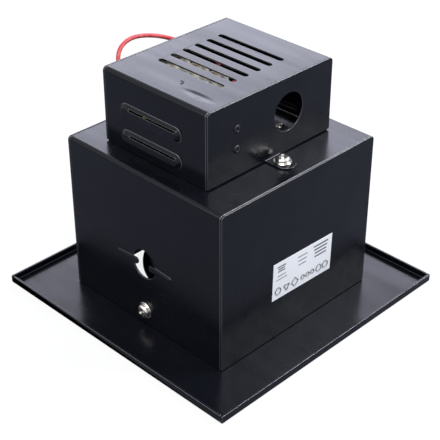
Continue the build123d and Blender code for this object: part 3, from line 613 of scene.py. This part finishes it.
def cross_bit(reach, width, depth, top):
    """The tip of a cross screwdriver, point down, at a height."""
    bm = bmesh.new()
    rings = []
    for z, far, near in ((0.3 * depth, reach * 1.06, width * 0.52), (-depth, reach * 0.66, width * 0.40)):
        quarter = [(far, -near), (far, near), (near, near)]
        ring = []
        for turn in range(4):
            c, k = ((1, 0), (0, 1), (-1, 0), (0, -1))[turn]
            ring += [bm.verts.new((x * c - y * k, x * k + y * c, z)) for x, y in quarter]
        rings.append(ring)
    count = len(rings[0])
    for i in range(count):
        j = (i + 1) % count
        bm.faces.new((rings[0][i], rings[1][i], rings[1][j], rings[0][j]))
    bm.faces.new(rings[0])
    bm.faces.new(rings[1][::-1])
    bmesh.ops.recalc_face_normals(bm, faces=bm.faces)
    bmesh.ops.translate(bm, verts=bm.verts, vec=(0, 0, top))
    mesh = bpy.data.meshes.new("cross_bit")
    bm.to_mesh(mesh)
    bm.free()
    return link("cross_bit", mesh)


def pan_screw(name, r, h, shank_r, shank, fasteners):
    """A cross-recessed pan head screw, seat at the origin, head up."""
    thread = 0.7 * MM if shank_r > 1.8 * MM else 0.5 * MM
    outline = [(0, -shank)]
    crest, root, z = shank_r * 0.999, shank_r * 0.86, -shank
    while z < -0.6 * MM - thread:
        outline += [(root, z), (crest, z + thread * 0.45), (crest, z + thread * 0.55)]
        z += thread
    outline += [(root, z), (root, -0.02 * MM), (r * 0.96, 0.0)] + dome(r, h, fasteners.dome)
    bm = turned(outline, fasteners.segments)
    mesh = bpy.data.meshes.new(name)
    bm.to_mesh(mesh)
    bm.free()
    head = link(name, mesh)
    bit = cross_bit(r * fasteners.recess, r * 0.30, h * 0.66, h)
    head = cut(head, bit, name)
    smooth(head.data, 34)
    return head


def bead_profile(r_in, r_out, t, round_off):
    """A flat ring's outline with broken edges."""
    c = round_off
    return [(r_in, c), (r_in + c, 0), (r_out - c, 0), (r_out, c),
            (r_out, t - c), (r_out - c, t), (r_in + c, t), (r_in, t - c)]


def turned_part(name, profile, segments, angle=34):
    bm = turned(profile, segments)
    mesh = bpy.data.meshes.new(name)
    bm.to_mesh(mesh)
    bm.free()
    smooth(mesh, angle)
    return link(name, mesh)


# ---------------------------------------------------------------- geometry node trees
class Tree:
    """A geometry node tree with named inputs, ended by Realize Instances and Set Material."""

    def __init__(self, name, inputs):
        self.tree = bpy.data.node_groups.new(name, "GeometryNodeTree")
        face = self.tree.interface
        face.new_socket("Geometry", in_out="INPUT", socket_type="NodeSocketGeometry")
        face.new_socket("Geometry", in_out="OUTPUT", socket_type="NodeSocketGeometry")
        for label, kind in inputs.items():
            face.new_socket(label, in_out="INPUT", socket_type=kind)
        self.start = self.tree.nodes.new("NodeGroupInput")

    def given(self, label):
        return self.start.outputs[label]

    def add(self, kind, settings=None, sockets=None, out=0):
        node = self.tree.nodes.new(kind)
        for key, value in (settings or {}).items():
            setattr(node, key, value)
        for key, value in (sockets or {}).items():
            if isinstance(value, bpy.types.NodeSocket):
                self.tree.links.new(value, node.inputs[key])
            else:
                node.inputs[key].default_value = value
        return node.outputs[out]

    def math(self, operation, first, second):
        return self.add("ShaderNodeMath", {"operation": operation}, {0: first, 1: second})

    def end(self, geometry):
        whole = self.add("GeometryNodeRealizeInstances", None, {"Geometry": geometry})
        painted = self.add("GeometryNodeSetMaterial", None, {
            "Geometry": whole, "Material": self.given("Material")})
        out = self.tree.nodes.new("NodeGroupOutput")
        self.tree.links.new(painted, out.inputs[0])
        return self.tree


def grown(name, tree, mesh, values):
    """A plain mesh piece that a tree makes from a starting mesh and its named inputs."""
    piece = link(name + "_seed", mesh)
    growth = piece.modifiers.new("growth", "NODES")
    growth.node_group = tree
    for item in tree.interface.items_tree:
        if item.in_out == "INPUT" and item.name in values:
            growth[item.identifier] = values[item.name]
    piece.update_tag()
    return plain(piece, name)


def fastener_tree():
    """Sets one fastener on every point, aimed along the point's aim and spun about it."""
    t = Tree("fasteners_on_points", {
        "Fastener": "NodeSocketObject", "Size": "NodeSocketFloat", "Material": "NodeSocketMaterial"})
    part = t.add("GeometryNodeObjectInfo", None, {"Object": t.given("Fastener")}, out=4)
    aim = t.add("GeometryNodeInputNamedAttribute", {"data_type": "FLOAT_VECTOR"}, {"Name": "aim"})
    spin = t.add("GeometryNodeInputNamedAttribute", {"data_type": "FLOAT"}, {"Name": "spin"})
    stand = t.add("FunctionNodeAlignRotationToVector", {"axis": "Z"}, {"Vector": aim})
    about = t.add("ShaderNodeCombineXYZ", None, {"Z": spin})
    turn = t.add("FunctionNodeEulerToRotation", None, {0: about})
    whole = t.add("FunctionNodeRotateRotation", {"rotation_space": "LOCAL"}, {
        "Rotation": stand, "Rotate By": turn})
    placed = t.add("GeometryNodeInstanceOnPoints", None, {
        "Points": t.given("Geometry"), "Instance": part, "Rotation": whole, "Scale": t.given("Size")})
    return t.end(placed)


def print_tree():
    """Rows of printed bars: each point of the seed mesh is one bar with its own length and height."""
    t = Tree("printed_bars", {
        "Thickness": "NodeSocketFloat", "Shortest": "NodeSocketFloat", "Seed": "NodeSocketInt",
        "Material": "NodeSocketMaterial"})
    size = t.add("GeometryNodeInputNamedAttribute", {"data_type": "FLOAT_VECTOR"}, {"Name": "size"})
    parts = t.tree.nodes.new("ShaderNodeSeparateXYZ")
    t.tree.links.new(size, parts.inputs[0])
    share = t.add("FunctionNodeRandomValue", {"data_type": "FLOAT"}, {
        2: t.given("Shortest"), 3: 1.0, "Seed": t.given("Seed")}, out=1)
    length = t.math("MULTIPLY", parts.outputs[1], share)
    scale = t.add("ShaderNodeCombineXYZ", None, {
        "X": t.given("Thickness"), "Y": length, "Z": parts.outputs[2]})
    bar = t.add("GeometryNodeMeshCube", None, {"Size": (1.0, 1.0, 1.0)})
    placed = t.add("GeometryNodeInstanceOnPoints", None, {
        "Points": t.given("Geometry"), "Instance": bar, "Scale": scale})
    return t.end(placed)


def ring_tree():
    """Flat printed rings and polygons: Curve Circle swept by a small rectangle."""
    t = Tree("printed_rings", {
        "Radius": "NodeSocketFloat", "Thickness": "NodeSocketFloat", "Stroke": "NodeSocketFloat",
        "Sides": "NodeSocketInt", "Material": "NodeSocketMaterial"})
    loop = t.add("GeometryNodeCurvePrimitiveCircle", {"mode": "RADIUS"}, {
        "Resolution": t.given("Sides"), "Radius": t.given("Radius")})
    tape = t.add("GeometryNodeCurvePrimitiveQuadrilateral", {"mode": "RECTANGLE"}, {
        "Width": t.given("Thickness"), "Height": t.given("Stroke")})
    swept = t.add("GeometryNodeCurveToMesh", None, {"Curve": loop, "Profile Curve": tape})
    placed = t.add("GeometryNodeInstanceOnPoints", None, {
        "Points": t.given("Geometry"), "Instance": swept, "Rotation": (0.0, pi / 2, 0.0)})
    return t.end(placed)


TREES = {}


def point_mesh(name, places, **layers):
    """A mesh of loose points with vector or number attributes."""
    mesh = bpy.data.meshes.new(name)
    mesh.from_pydata([tuple(p) for p in places], [], [])
    for label, values in layers.items():
        vector = hasattr(values[0], "__len__")
        layer = mesh.attributes.new(label, "FLOAT_VECTOR" if vector else "FLOAT", "POINT")
        if vector:
            layer.data.foreach_set("vector", [c for v in values for c in v])
        else:
            layer.data.foreach_set("value", values)
    return mesh


def set_out(node, name, part, spots):
    """Sets a fastener on its (place, aim, spin) spots, for one CAD node."""
    places, aims, spins = zip(*spots)
    mesh = point_mesh(name, places, aim=aims, spin=[float(spin) for spin in spins])
    piece = grown(name, TREES["fasteners"], mesh, {
        "Fastener": part, "Size": 1.0, "Material": MATERIALS[SLOT_OF[node]]})
    bpy.data.objects.remove(part)
    return belongs(piece, node)


def middle(box):
    return (box[0] + box[1]) / 2


UP = (0, 0, 1)


# ---------------------------------------------------------------- leads
def lead_curve(name, route, radius):
    """A round lead on one smooth NURBS line."""
    curve = bpy.data.curves.new(name, "CURVE")
    curve.dimensions = "3D"
    spline = curve.splines.new("NURBS")
    spline.points.add(len(route) - 1)
    for point, place in zip(spline.points, route):
        point.co = (*place, 1)
    spline.order_u = 3
    spline.use_endpoint_u = True
    spline.resolution_u = 14
    curve.bevel_depth = radius
    curve.bevel_resolution = 5
    curve.use_fill_caps = True
    return link(name, curve)


def line_points(route):
    """Points along the route's NURBS line."""
    piece = lead_curve("line", route, 0.0)
    graph = bpy.context.evaluated_depsgraph_get()
    mesh = bpy.data.meshes.new_from_object(piece.evaluated_get(graph), depsgraph=graph)
    points = [v.co.copy() for v in mesh.vertices]
    bpy.data.objects.remove(piece)
    return points


def sleeve_mesh(name, route, radius, sides=16):
    """A mesh tube along the route's NURBS line, with a UV map round and along it."""
    path = line_points(route)
    bm = bmesh.new()
    layer = bm.loops.layers.uv.new("along")
    normal = (path[1] - path[0]).orthogonal().normalized()
    rings, run, total = [], [], 0.0
    for i, here in enumerate(path):
        ahead = path[min(i + 1, len(path) - 1)] - path[max(i - 1, 0)]
        ahead.normalize()
        normal = (normal - ahead * normal.dot(ahead)).normalized()
        side = ahead.cross(normal)
        turns = [2 * pi * k / sides for k in range(sides)]
        rings.append([bm.verts.new(here + radius * (cos(a) * normal + sin(a) * side)) for a in turns])
        total += (here - path[i - 1]).length if i else 0.0
        run.append(total)
    for i in range(len(rings) - 1):
        for k in range(sides):
            j = (k + 1) % sides
            face = bm.faces.new((rings[i][k], rings[i][j], rings[i + 1][j], rings[i + 1][k]))
            around = (k / sides, (k + 1) / sides, (k + 1) / sides, k / sides)
            along = (run[i], run[i], run[i + 1], run[i + 1])
            for loop, u, v in zip(face.loops, around, along):
                loop[layer].uv = (u, v)
    bm.faces.new(rings[0][::-1])
    bm.faces.new(rings[-1])
    bmesh.ops.recalc_face_normals(bm, faces=bm.faces)
    mesh = bpy.data.meshes.new(name)
    bm.to_mesh(mesh)
    bm.free()
    smooth(mesh, 60)
    return link(name, mesh)


# ---------------------------------------------------------------- operators
class DOWNLIGHT_OT_stage(bpy.types.Operator):
    """Sets the floor, the world, the soft lights and the camera"""

    bl_idname = "downlight.stage"
    bl_label = "Stage"

    def execute(self, context):
        scene = context.scene
        values = scene.downlight_stage
        self.set_camera(scene, values)
        self.set_world(scene)
        self.set_floor()
        for name, (place, target, size, colour) in LIGHTS.items():
            self.soft_light(name, place, target, size, getattr(values, name), colour)
        scene.view_settings.view_transform = "Standard"
        return {"FINISHED"}

    def set_camera(self, scene, values):
        data = bpy.data.cameras.new("camera")
        data.sensor_width = 36.0
        data.lens = values.lens
        camera = link("camera", data)
        camera.location = CAMERA_PLACE
        camera.rotation_euler = (radians(90 - CAMERA_DOWN), 0, radians(CAMERA_ROUND))
        scene.camera = camera

    def set_world(self, scene):
        """Soft grey light all round; the view, reflections and glass see plain white."""
        world = bpy.data.worlds.new("studio")
        world.use_nodes = True
        tree = world.node_tree
        tree.nodes.clear()
        rays = tree.nodes.new("ShaderNodeLightPath")
        seen = tree.nodes.new("ShaderNodeMath")
        seen.operation = "MAXIMUM"
        tree.links.new(rays.outputs["Is Camera Ray"], seen.inputs[0])
        tree.links.new(rays.outputs["Is Transmission Ray"], seen.inputs[1])
        both = tree.nodes.new("ShaderNodeMath")
        both.operation = "MAXIMUM"
        tree.links.new(seen.outputs[0], both.inputs[0])
        tree.links.new(rays.outputs["Is Glossy Ray"], both.inputs[1])
        level = tree.nodes.new("ShaderNodeMapRange")
        level.inputs["To Min"].default_value = WORLD_FILL
        level.inputs["To Max"].default_value = 1.0
        tree.links.new(both.outputs[0], level.inputs["Value"])
        back = tree.nodes.new("ShaderNodeBackground")
        back.inputs["Color"].default_value = (1, 1, 1, 1)
        tree.links.new(level.outputs[0], back.inputs["Strength"])
        out = tree.nodes.new("ShaderNodeOutputWorld")
        tree.links.new(back.outputs[0], out.inputs["Surface"])
        scene.world = world

    def set_floor(self):
        """A plain pale floor that keeps the object's shadow and reads white in the view."""
        mesh = bpy.data.meshes.new("floor")
        corners = [(x * FLOOR_HALF, y * FLOOR_HALF, 0) for x, y in ((-1, -1), (1, -1), (1, 1), (-1, 1))]
        mesh.from_pydata(corners, [], [(0, 1, 2, 3)])
        mesh.transform(Matrix.Translation((0, 0, CAD_BOX[0][2] - FLOOR_GAP)))
        floor = link("floor", mesh)
        paint = Paint("pale_floor")
        rays = paint.tree.nodes.new("ShaderNodeLightPath")
        camera = Value(paint, rays.outputs["Is Camera Ray"])
        direct = camera + Value(paint, rays.outputs["Is Transmission Ray"])
        seen = direct * 0.86 + Value(paint, rays.outputs["Is Glossy Ray"]) * 0.06
        pale = paint.add("ShaderNodeBsdfDiffuse", None, {"Color": (0.80, 0.80, 0.80, 1)})
        dim = paint.add("ShaderNodeBsdfDiffuse", None, {"Color": (0.20, 0.21, 0.26, 1)})
        lit = paint.add("ShaderNodeMixShader", None, {0: direct, 1: dim, 2: pale})
        white = paint.add("ShaderNodeEmission", None, {"Color": (1, 1, 1, 1), "Strength": 1.0})
        mixed = paint.add("ShaderNodeMixShader", None, {0: seen, 1: lit, 2: white})
        out = paint.tree.nodes.new("ShaderNodeOutputMaterial")
        paint.tree.links.new(mixed.socket, out.inputs["Surface"])
        mesh.materials.append(paint.material)

    def soft_light(self, name, place, target, size, power, colour):
        data = bpy.data.lights.new(name, "AREA")
        data.shape = "RECTANGLE"
        data.size, data.size_y = size
        data.energy = power
        data.color = colour
        light = link(name, data)
        light.location = place
        light.rotation_euler = (Vector(target) - Vector(place)).to_track_quat("-Z", "Y").to_euler()


class DOWNLIGHT_OT_leads(bpy.types.Operator):
    """Lays the lamp leads, their tails inside the housing and the earth lead"""

    bl_idname = "downlight.leads"
    bl_label = "Leads"

    def execute(self, context):
        finish = context.scene.downlight_finish
        radius = finish.lead_diameter / 2
        for name, route, length in (("lamp_lead_a", LEAD_A, LEAD_A_LENGTH),
                                    ("lamp_lead_b", LEAD_B, LEAD_B_LENGTH)):
            lead = lead_curve(name + "_sleeve", route, radius)
            lead.data.materials.append(MATERIALS["red_silicone"])
            belongs(lead, name)
        for name, route in (("lead_tail_a", TAIL_A), ("lead_tail_b", TAIL_B)):
            tail = sleeve_mesh(name + "_sleeve", route, radius)
            tail.data.materials.append(MATERIALS["red_silicone"])
            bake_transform(tail)
            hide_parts(name)
        earth = sleeve_mesh("earth_lead_sleeve", EARTH, radius)
        earth.data.materials.append(MATERIALS["earth_sleeve"])
        belongs(earth, "earth_lead")
        return {"FINISHED"}


class DOWNLIGHT_OT_sheets(bpy.types.Operator):
    """Rounds the cut edges of the folded sheets and gives them their powder coat; the rounded edges get a
    paler coat, partly thinner paint and partly a painted highlight
    """

    bl_idname = "downlight.sheets"
    bl_label = "Sheet metal"

    def execute(self, context):
        edge = context.scene.downlight_finish.edge_round
        for node in ("trim_tray", "lamp_housing", "side_panel_right", "side_panel_left", "end_plate_right",
                     "end_plate_left", "lamp_ring", "lamp_can"):
            softened(node, node + "_coated", edge, "black_powder_coat", "cut_edge")
        softened("wiring_cover", "wiring_cover_coated", edge, "cover_coat", "cut_edge")
        softened("terminal_bracket", "terminal_bracket_plated", edge, "zinc_steel")
        return {"FINISHED"}


class DOWNLIGHT_OT_fasteners(bpy.types.Operator):
    """Makes the screws, washers, nuts and rivets and sets them in their holes"""

    bl_idname = "downlight.fasteners"
    bl_label = "Fasteners"

    def execute(self, context):
        f = context.scene.downlight_fasteners
        self.ear_screws(f)
        self.pivot_screws(f)
        self.small_screws(f)
        self.washers(f)
        self.rivets(f)
        for node in ("ear_nuts", "pivot_nuts", "holder_nuts"):
            softened(node, node + "_plated", 0.15 * MM, "plated_steel")
        return {"FINISHED"}

    def ear_screws(self, f):
        boxes = islands("ear_screws")
        r = (boxes[0][1].x - boxes[0][0].x) / 2
        h = M4_HEAD
        part = pan_screw("ear_screw", r, h, M4_SHANK, EAR_SCREW_SHANK, f)
        spots = [((middle(b).x, middle(b).y, b[1].z - h), UP, radians(25 + 20 * i))
                 for i, b in enumerate(boxes)]
        set_out("ear_screws", "ear_screws_plated", part, spots)

    def pivot_screws(self, f):
        boxes = islands("pivot_screws")
        r = (boxes[0][1].x - boxes[0][0].x) / 2
        h = M4_HEAD
        part = pan_screw("pivot_screw", r, h, M4_SHANK, boxes[0][1].y - boxes[0][0].y - h, f)
        spots = []
        for low, high in boxes:
            side = -1 if low.y < 0 else 1
            outer = low.y if side < 0 else high.y
            spots.append(((0, outer - side * h, (low.z + high.z) / 2), (0, side, 0), radians(38)))
        set_out("pivot_screws", "pivot_screws_plated", part, spots)

    def small_screws(self, f):
        for node, spin in (("block_screws", 15), ("clamp_screws", 60), ("holder_screws", 30)):
            boxes = islands(node)
            r = (boxes[0][1].x - boxes[0][0].x) / 2
            h = M3_HEAD
            part = pan_screw(node + "_part", r, h, M3_SHANK, boxes[0][1].z - boxes[0][0].z - h, f)
            spots = [((middle(b).x, middle(b).y, b[1].z - h), UP, radians(spin + 35 * i))
                     for i, b in enumerate(boxes)]
            set_out(node, node + "_plated", part, spots)
        boxes = islands("earth_screw")
        part = pan_screw("earth_screw_part", EARTH_HEAD_R, EARTH_HEAD, M4_SHANK, EARTH_SHANK, f)
        spots = [((middle(b).x, middle(b).y, b[1].z - EARTH_HEAD), UP, radians(10)) for b in boxes]
        set_out("earth_screw", "earth_screw_plated", part, spots)

    def washers(self, f):
        for node in ("ear_washers", "pivot_washers", "friction_washers"):
            boxes = islands(node)
            spots = []
            for low, high in boxes:
                size = high - low
                if node == "ear_washers":
                    spots.append(((middle((low, high)).x, middle((low, high)).y, low.z), UP, 0))
                else:
                    side = -1 if low.y < 0 else 1
                    seat = high.y if side < 0 else low.y
                    spots.append(((0, seat, middle((low, high)).z), (0, side, 0), 0))
            t = size.z if node == "ear_washers" else size.y
            part = turned_part("washer", bead_profile(WASHER_BORE, size.x / 2, t, WASHER_EDGE), f.segments)
            set_out(node, node + "_plated", part, spots)

    def rivets(self, f):
        r, head, lift = BRACKET_RIVET
        boxes = islands("bracket_rivets")
        length = boxes[0][1].x - boxes[0][0].x - lift
        part = turned_part("bracket_rivet", self.rivet_profile(head, lift, r, length, f.mandrel), f.segments)
        spots = [((b[1].x - lift, middle(b).y, middle(b).z), (1, 0, 0), 0) for b in boxes]
        set_out("bracket_rivets", "bracket_rivets_coated", part, spots)
        boxes = islands("can_rivets")
        r, head, lift = CAN_RIVET
        length = boxes[0][1].z - boxes[0][0].z - lift
        part = turned_part("can_rivet", self.rivet_profile(head, lift, r, length, CAN_MANDREL), f.segments)
        spots = [((middle(b).x, middle(b).y, b[1].z - lift), UP, 0) for b in boxes]
        set_out("can_rivets", "can_rivets_plated", part, spots)

    def rivet_profile(self, head, lift, r, length, hole):
        """A blind rivet's outline: bulged tail, shank, domed head and the mandrel's hole."""
        tail = 1.2 * MM
        points = [(0, -length), (r * 1.05, -length), (r * 1.38, -length + tail * 0.5),
                  (r * 1.2, -length + tail), (r, -length + tail), (r, 0), (head, 0), (head, lift * 0.25)]
        for i in range(1, 5):
            a = pi / 2 * i / 5
            points.append((hole + (head - hole) * cos(a), lift * (0.25 + 0.75 * sin(a))))
        return points + [(hole * 1.15, lift), (hole, lift * 0.8), (hole, -lift * 0.2), (0, -lift * 0.2)]


class DOWNLIGHT_OT_wiring(bpy.types.Operator):
    """Finishes the terminal block, its brass, the cord clamp, the earth eye and the grommets"""

    bl_idname = "downlight.wiring"
    bl_label = "Wiring"

    def execute(self, context):
        softened("terminal_block", "terminal_block_glazed", 0.35 * MM, "porcelain")
        softened("pole_tubes", "pole_tubes_turned", 0.12 * MM, "brass")
        softened("pole_screws", "pole_screws_turned", 0.08 * MM, "brass")
        softened("cord_clamp", "cord_clamp_moulded", 0.4 * MM, "black_plastic")
        softened("earth_eye", "earth_eye_plated", 0.12 * MM, "zinc_steel")
        for node in ("side_grommets", "top_grommets"):
            softened(node, node + "_moulded", 0.28 * MM, "black_rubber", rounds=3)
        return {"FINISHED"}


class DOWNLIGHT_OT_label(bpy.types.Operator):
    """Sticks the rating label on and prints its generic bars and rings"""

    bl_idname = "downlight.label"
    bl_label = "Rating label"

    def execute(self, context):
        values = context.scene.downlight_label
        softened("rating_label", "rating_label_film", 0.04 * MM, "label_film")
        low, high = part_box("rating_label")
        centre = (low + high) / 2
        self.centre = Vector((high.x + INK_LIFT, centre.y, centre.z))
        self.turn = Matrix.Rotation(LABEL_TURN, 4, "X")
        self.print_bars(values)
        self.print_rings(values)
        return {"FINISHED"}

    def place(self, piece):
        """Moves print from round the origin onto the label, turned with it, and joins it to the root body."""
        piece.data.transform(Matrix.Translation(self.centre) @ self.turn)
        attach(piece, "root")

    def print_bars(self, values):
        """Text-like bars: a small block at the left, faint lines in the middle, dark lines at the right."""
        bars_of = {"label_ink": [], "label_ink_faint": []}
        for ink, rows, y, top, pitch, length, height in PRINT_BLOCKS:
            for row in range(rows):
                bars_of[ink].append(((0, y * MM, (top - row * pitch) * MM),
                                     (1, length * MM, values.line_height * height)))
        for ink, bars in bars_of.items():
            mesh = point_mesh("bars", [b[0] for b in bars], size=[b[1] for b in bars])
            piece = grown("printed_" + ink, TREES["bars"], mesh, {
                "Thickness": INK_THICKNESS, "Shortest": SHORTEST_BAR, "Seed": values.seed,
                "Material": MATERIALS[ink]})
            self.place(piece)

    def print_rings(self, values):
        """The lower row: plain rings, a triangle and a square."""
        for name, sides, radius, spots in PRINT_MARKS:
            mesh = point_mesh(name, [(0, y * MM, MARKS_HEIGHT) for y in spots])
            piece = grown("printed_" + name, TREES["rings"], mesh, {
                "Radius": radius * MM, "Thickness": INK_THICKNESS, "Stroke": RING_STROKE, "Sides": sides,
                "Material": MATERIALS["label_ink"]})
            self.place(piece)


class DOWNLIGHT_OT_lamp_head(bpy.types.Operator):
    """Finishes the reflector, the glass, the lampholder and the lamp"""

    bl_idname = "downlight.lamp_head"
    bl_label = "Lamp head"

    def execute(self, context):
        softened("reflector", "reflector_spun", 0.12 * MM, "polished_aluminium")
        softened("lampholder", "lampholder_glazed", 0.35 * MM, "porcelain")
        softened("lamp_base", "lamp_base_glazed", 0.3 * MM, "porcelain")
        softened("lamp_burner", "lamp_burner_fired", 0.1 * MM, "burner_ceramic")
        softened("lamp_pins", "lamp_pins_plated", 0.12 * MM, "zinc_steel")
        softened("glass_gasket", "glass_gasket_moulded", 0.15 * MM, "white_silicone")
        softened("front_glass", "front_glass_polished", 0.12 * MM, "clear_glass")
        softened("lamp_bulb", "lamp_bulb_blown", 0.08 * MM, "clear_glass")
        return {"FINISHED"}


class DOWNLIGHT_PT_panel(bpy.types.Panel):
    """Lists the steps that build the downlight"""

    bl_idname = "DOWNLIGHT_PT_panel"
    bl_label = "Recessed downlight"
    bl_space_type = "VIEW_3D"
    bl_region_type = "UI"
    bl_category = "Downlight"

    def draw(self, context):
        scene = context.scene
        for group in (scene.downlight_finish, scene.downlight_fasteners, scene.downlight_label,
                      scene.downlight_stage):
            box = self.layout.box()
            for label in group.bl_rna.properties.keys():
                if label not in ("rna_type", "name"):
                    box.prop(group, label)
        for step in STEPS:
            self.layout.operator(step.bl_idname)


GROUPS = {"downlight_finish": DownlightFinish, "downlight_fasteners": DownlightFasteners,
          "downlight_label": DownlightLabel, "downlight_stage": DownlightStage}
STEPS = (DOWNLIGHT_OT_stage, DOWNLIGHT_OT_leads, DOWNLIGHT_OT_sheets, DOWNLIGHT_OT_fasteners,
         DOWNLIGHT_OT_wiring, DOWNLIGHT_OT_label, DOWNLIGHT_OT_lamp_head)


def register():
    for group in GROUPS.values():
        bpy.utils.register_class(group)
    for name, group in GROUPS.items():
        setattr(bpy.types.Scene, name, PointerProperty(type=group))
    for step in STEPS:
        bpy.utils.register_class(step)
    bpy.utils.register_class(DOWNLIGHT_PT_panel)


def unregister():
    bpy.utils.unregister_class(DOWNLIGHT_PT_panel)
    for step in reversed(STEPS):
        bpy.utils.unregister_class(step)
    for name in GROUPS:
        delattr(bpy.types.Scene, name)
    for group in GROUPS.values():
        bpy.utils.unregister_class(group)


def main():
    register()
    MATERIALS.update(make_materials(bpy.context.scene.downlight_finish))
    TREES.update(fasteners=fastener_tree(), bars=print_tree(), rings=ring_tree())
    bpy.ops.downlight.stage()
    bpy.ops.downlight.leads()
    bpy.ops.downlight.sheets()
    bpy.ops.downlight.fasteners()
    bpy.ops.downlight.wiring()
    bpy.ops.downlight.label()
    bpy.ops.downlight.lamp_head()


if __name__ == "__main__":
    main()
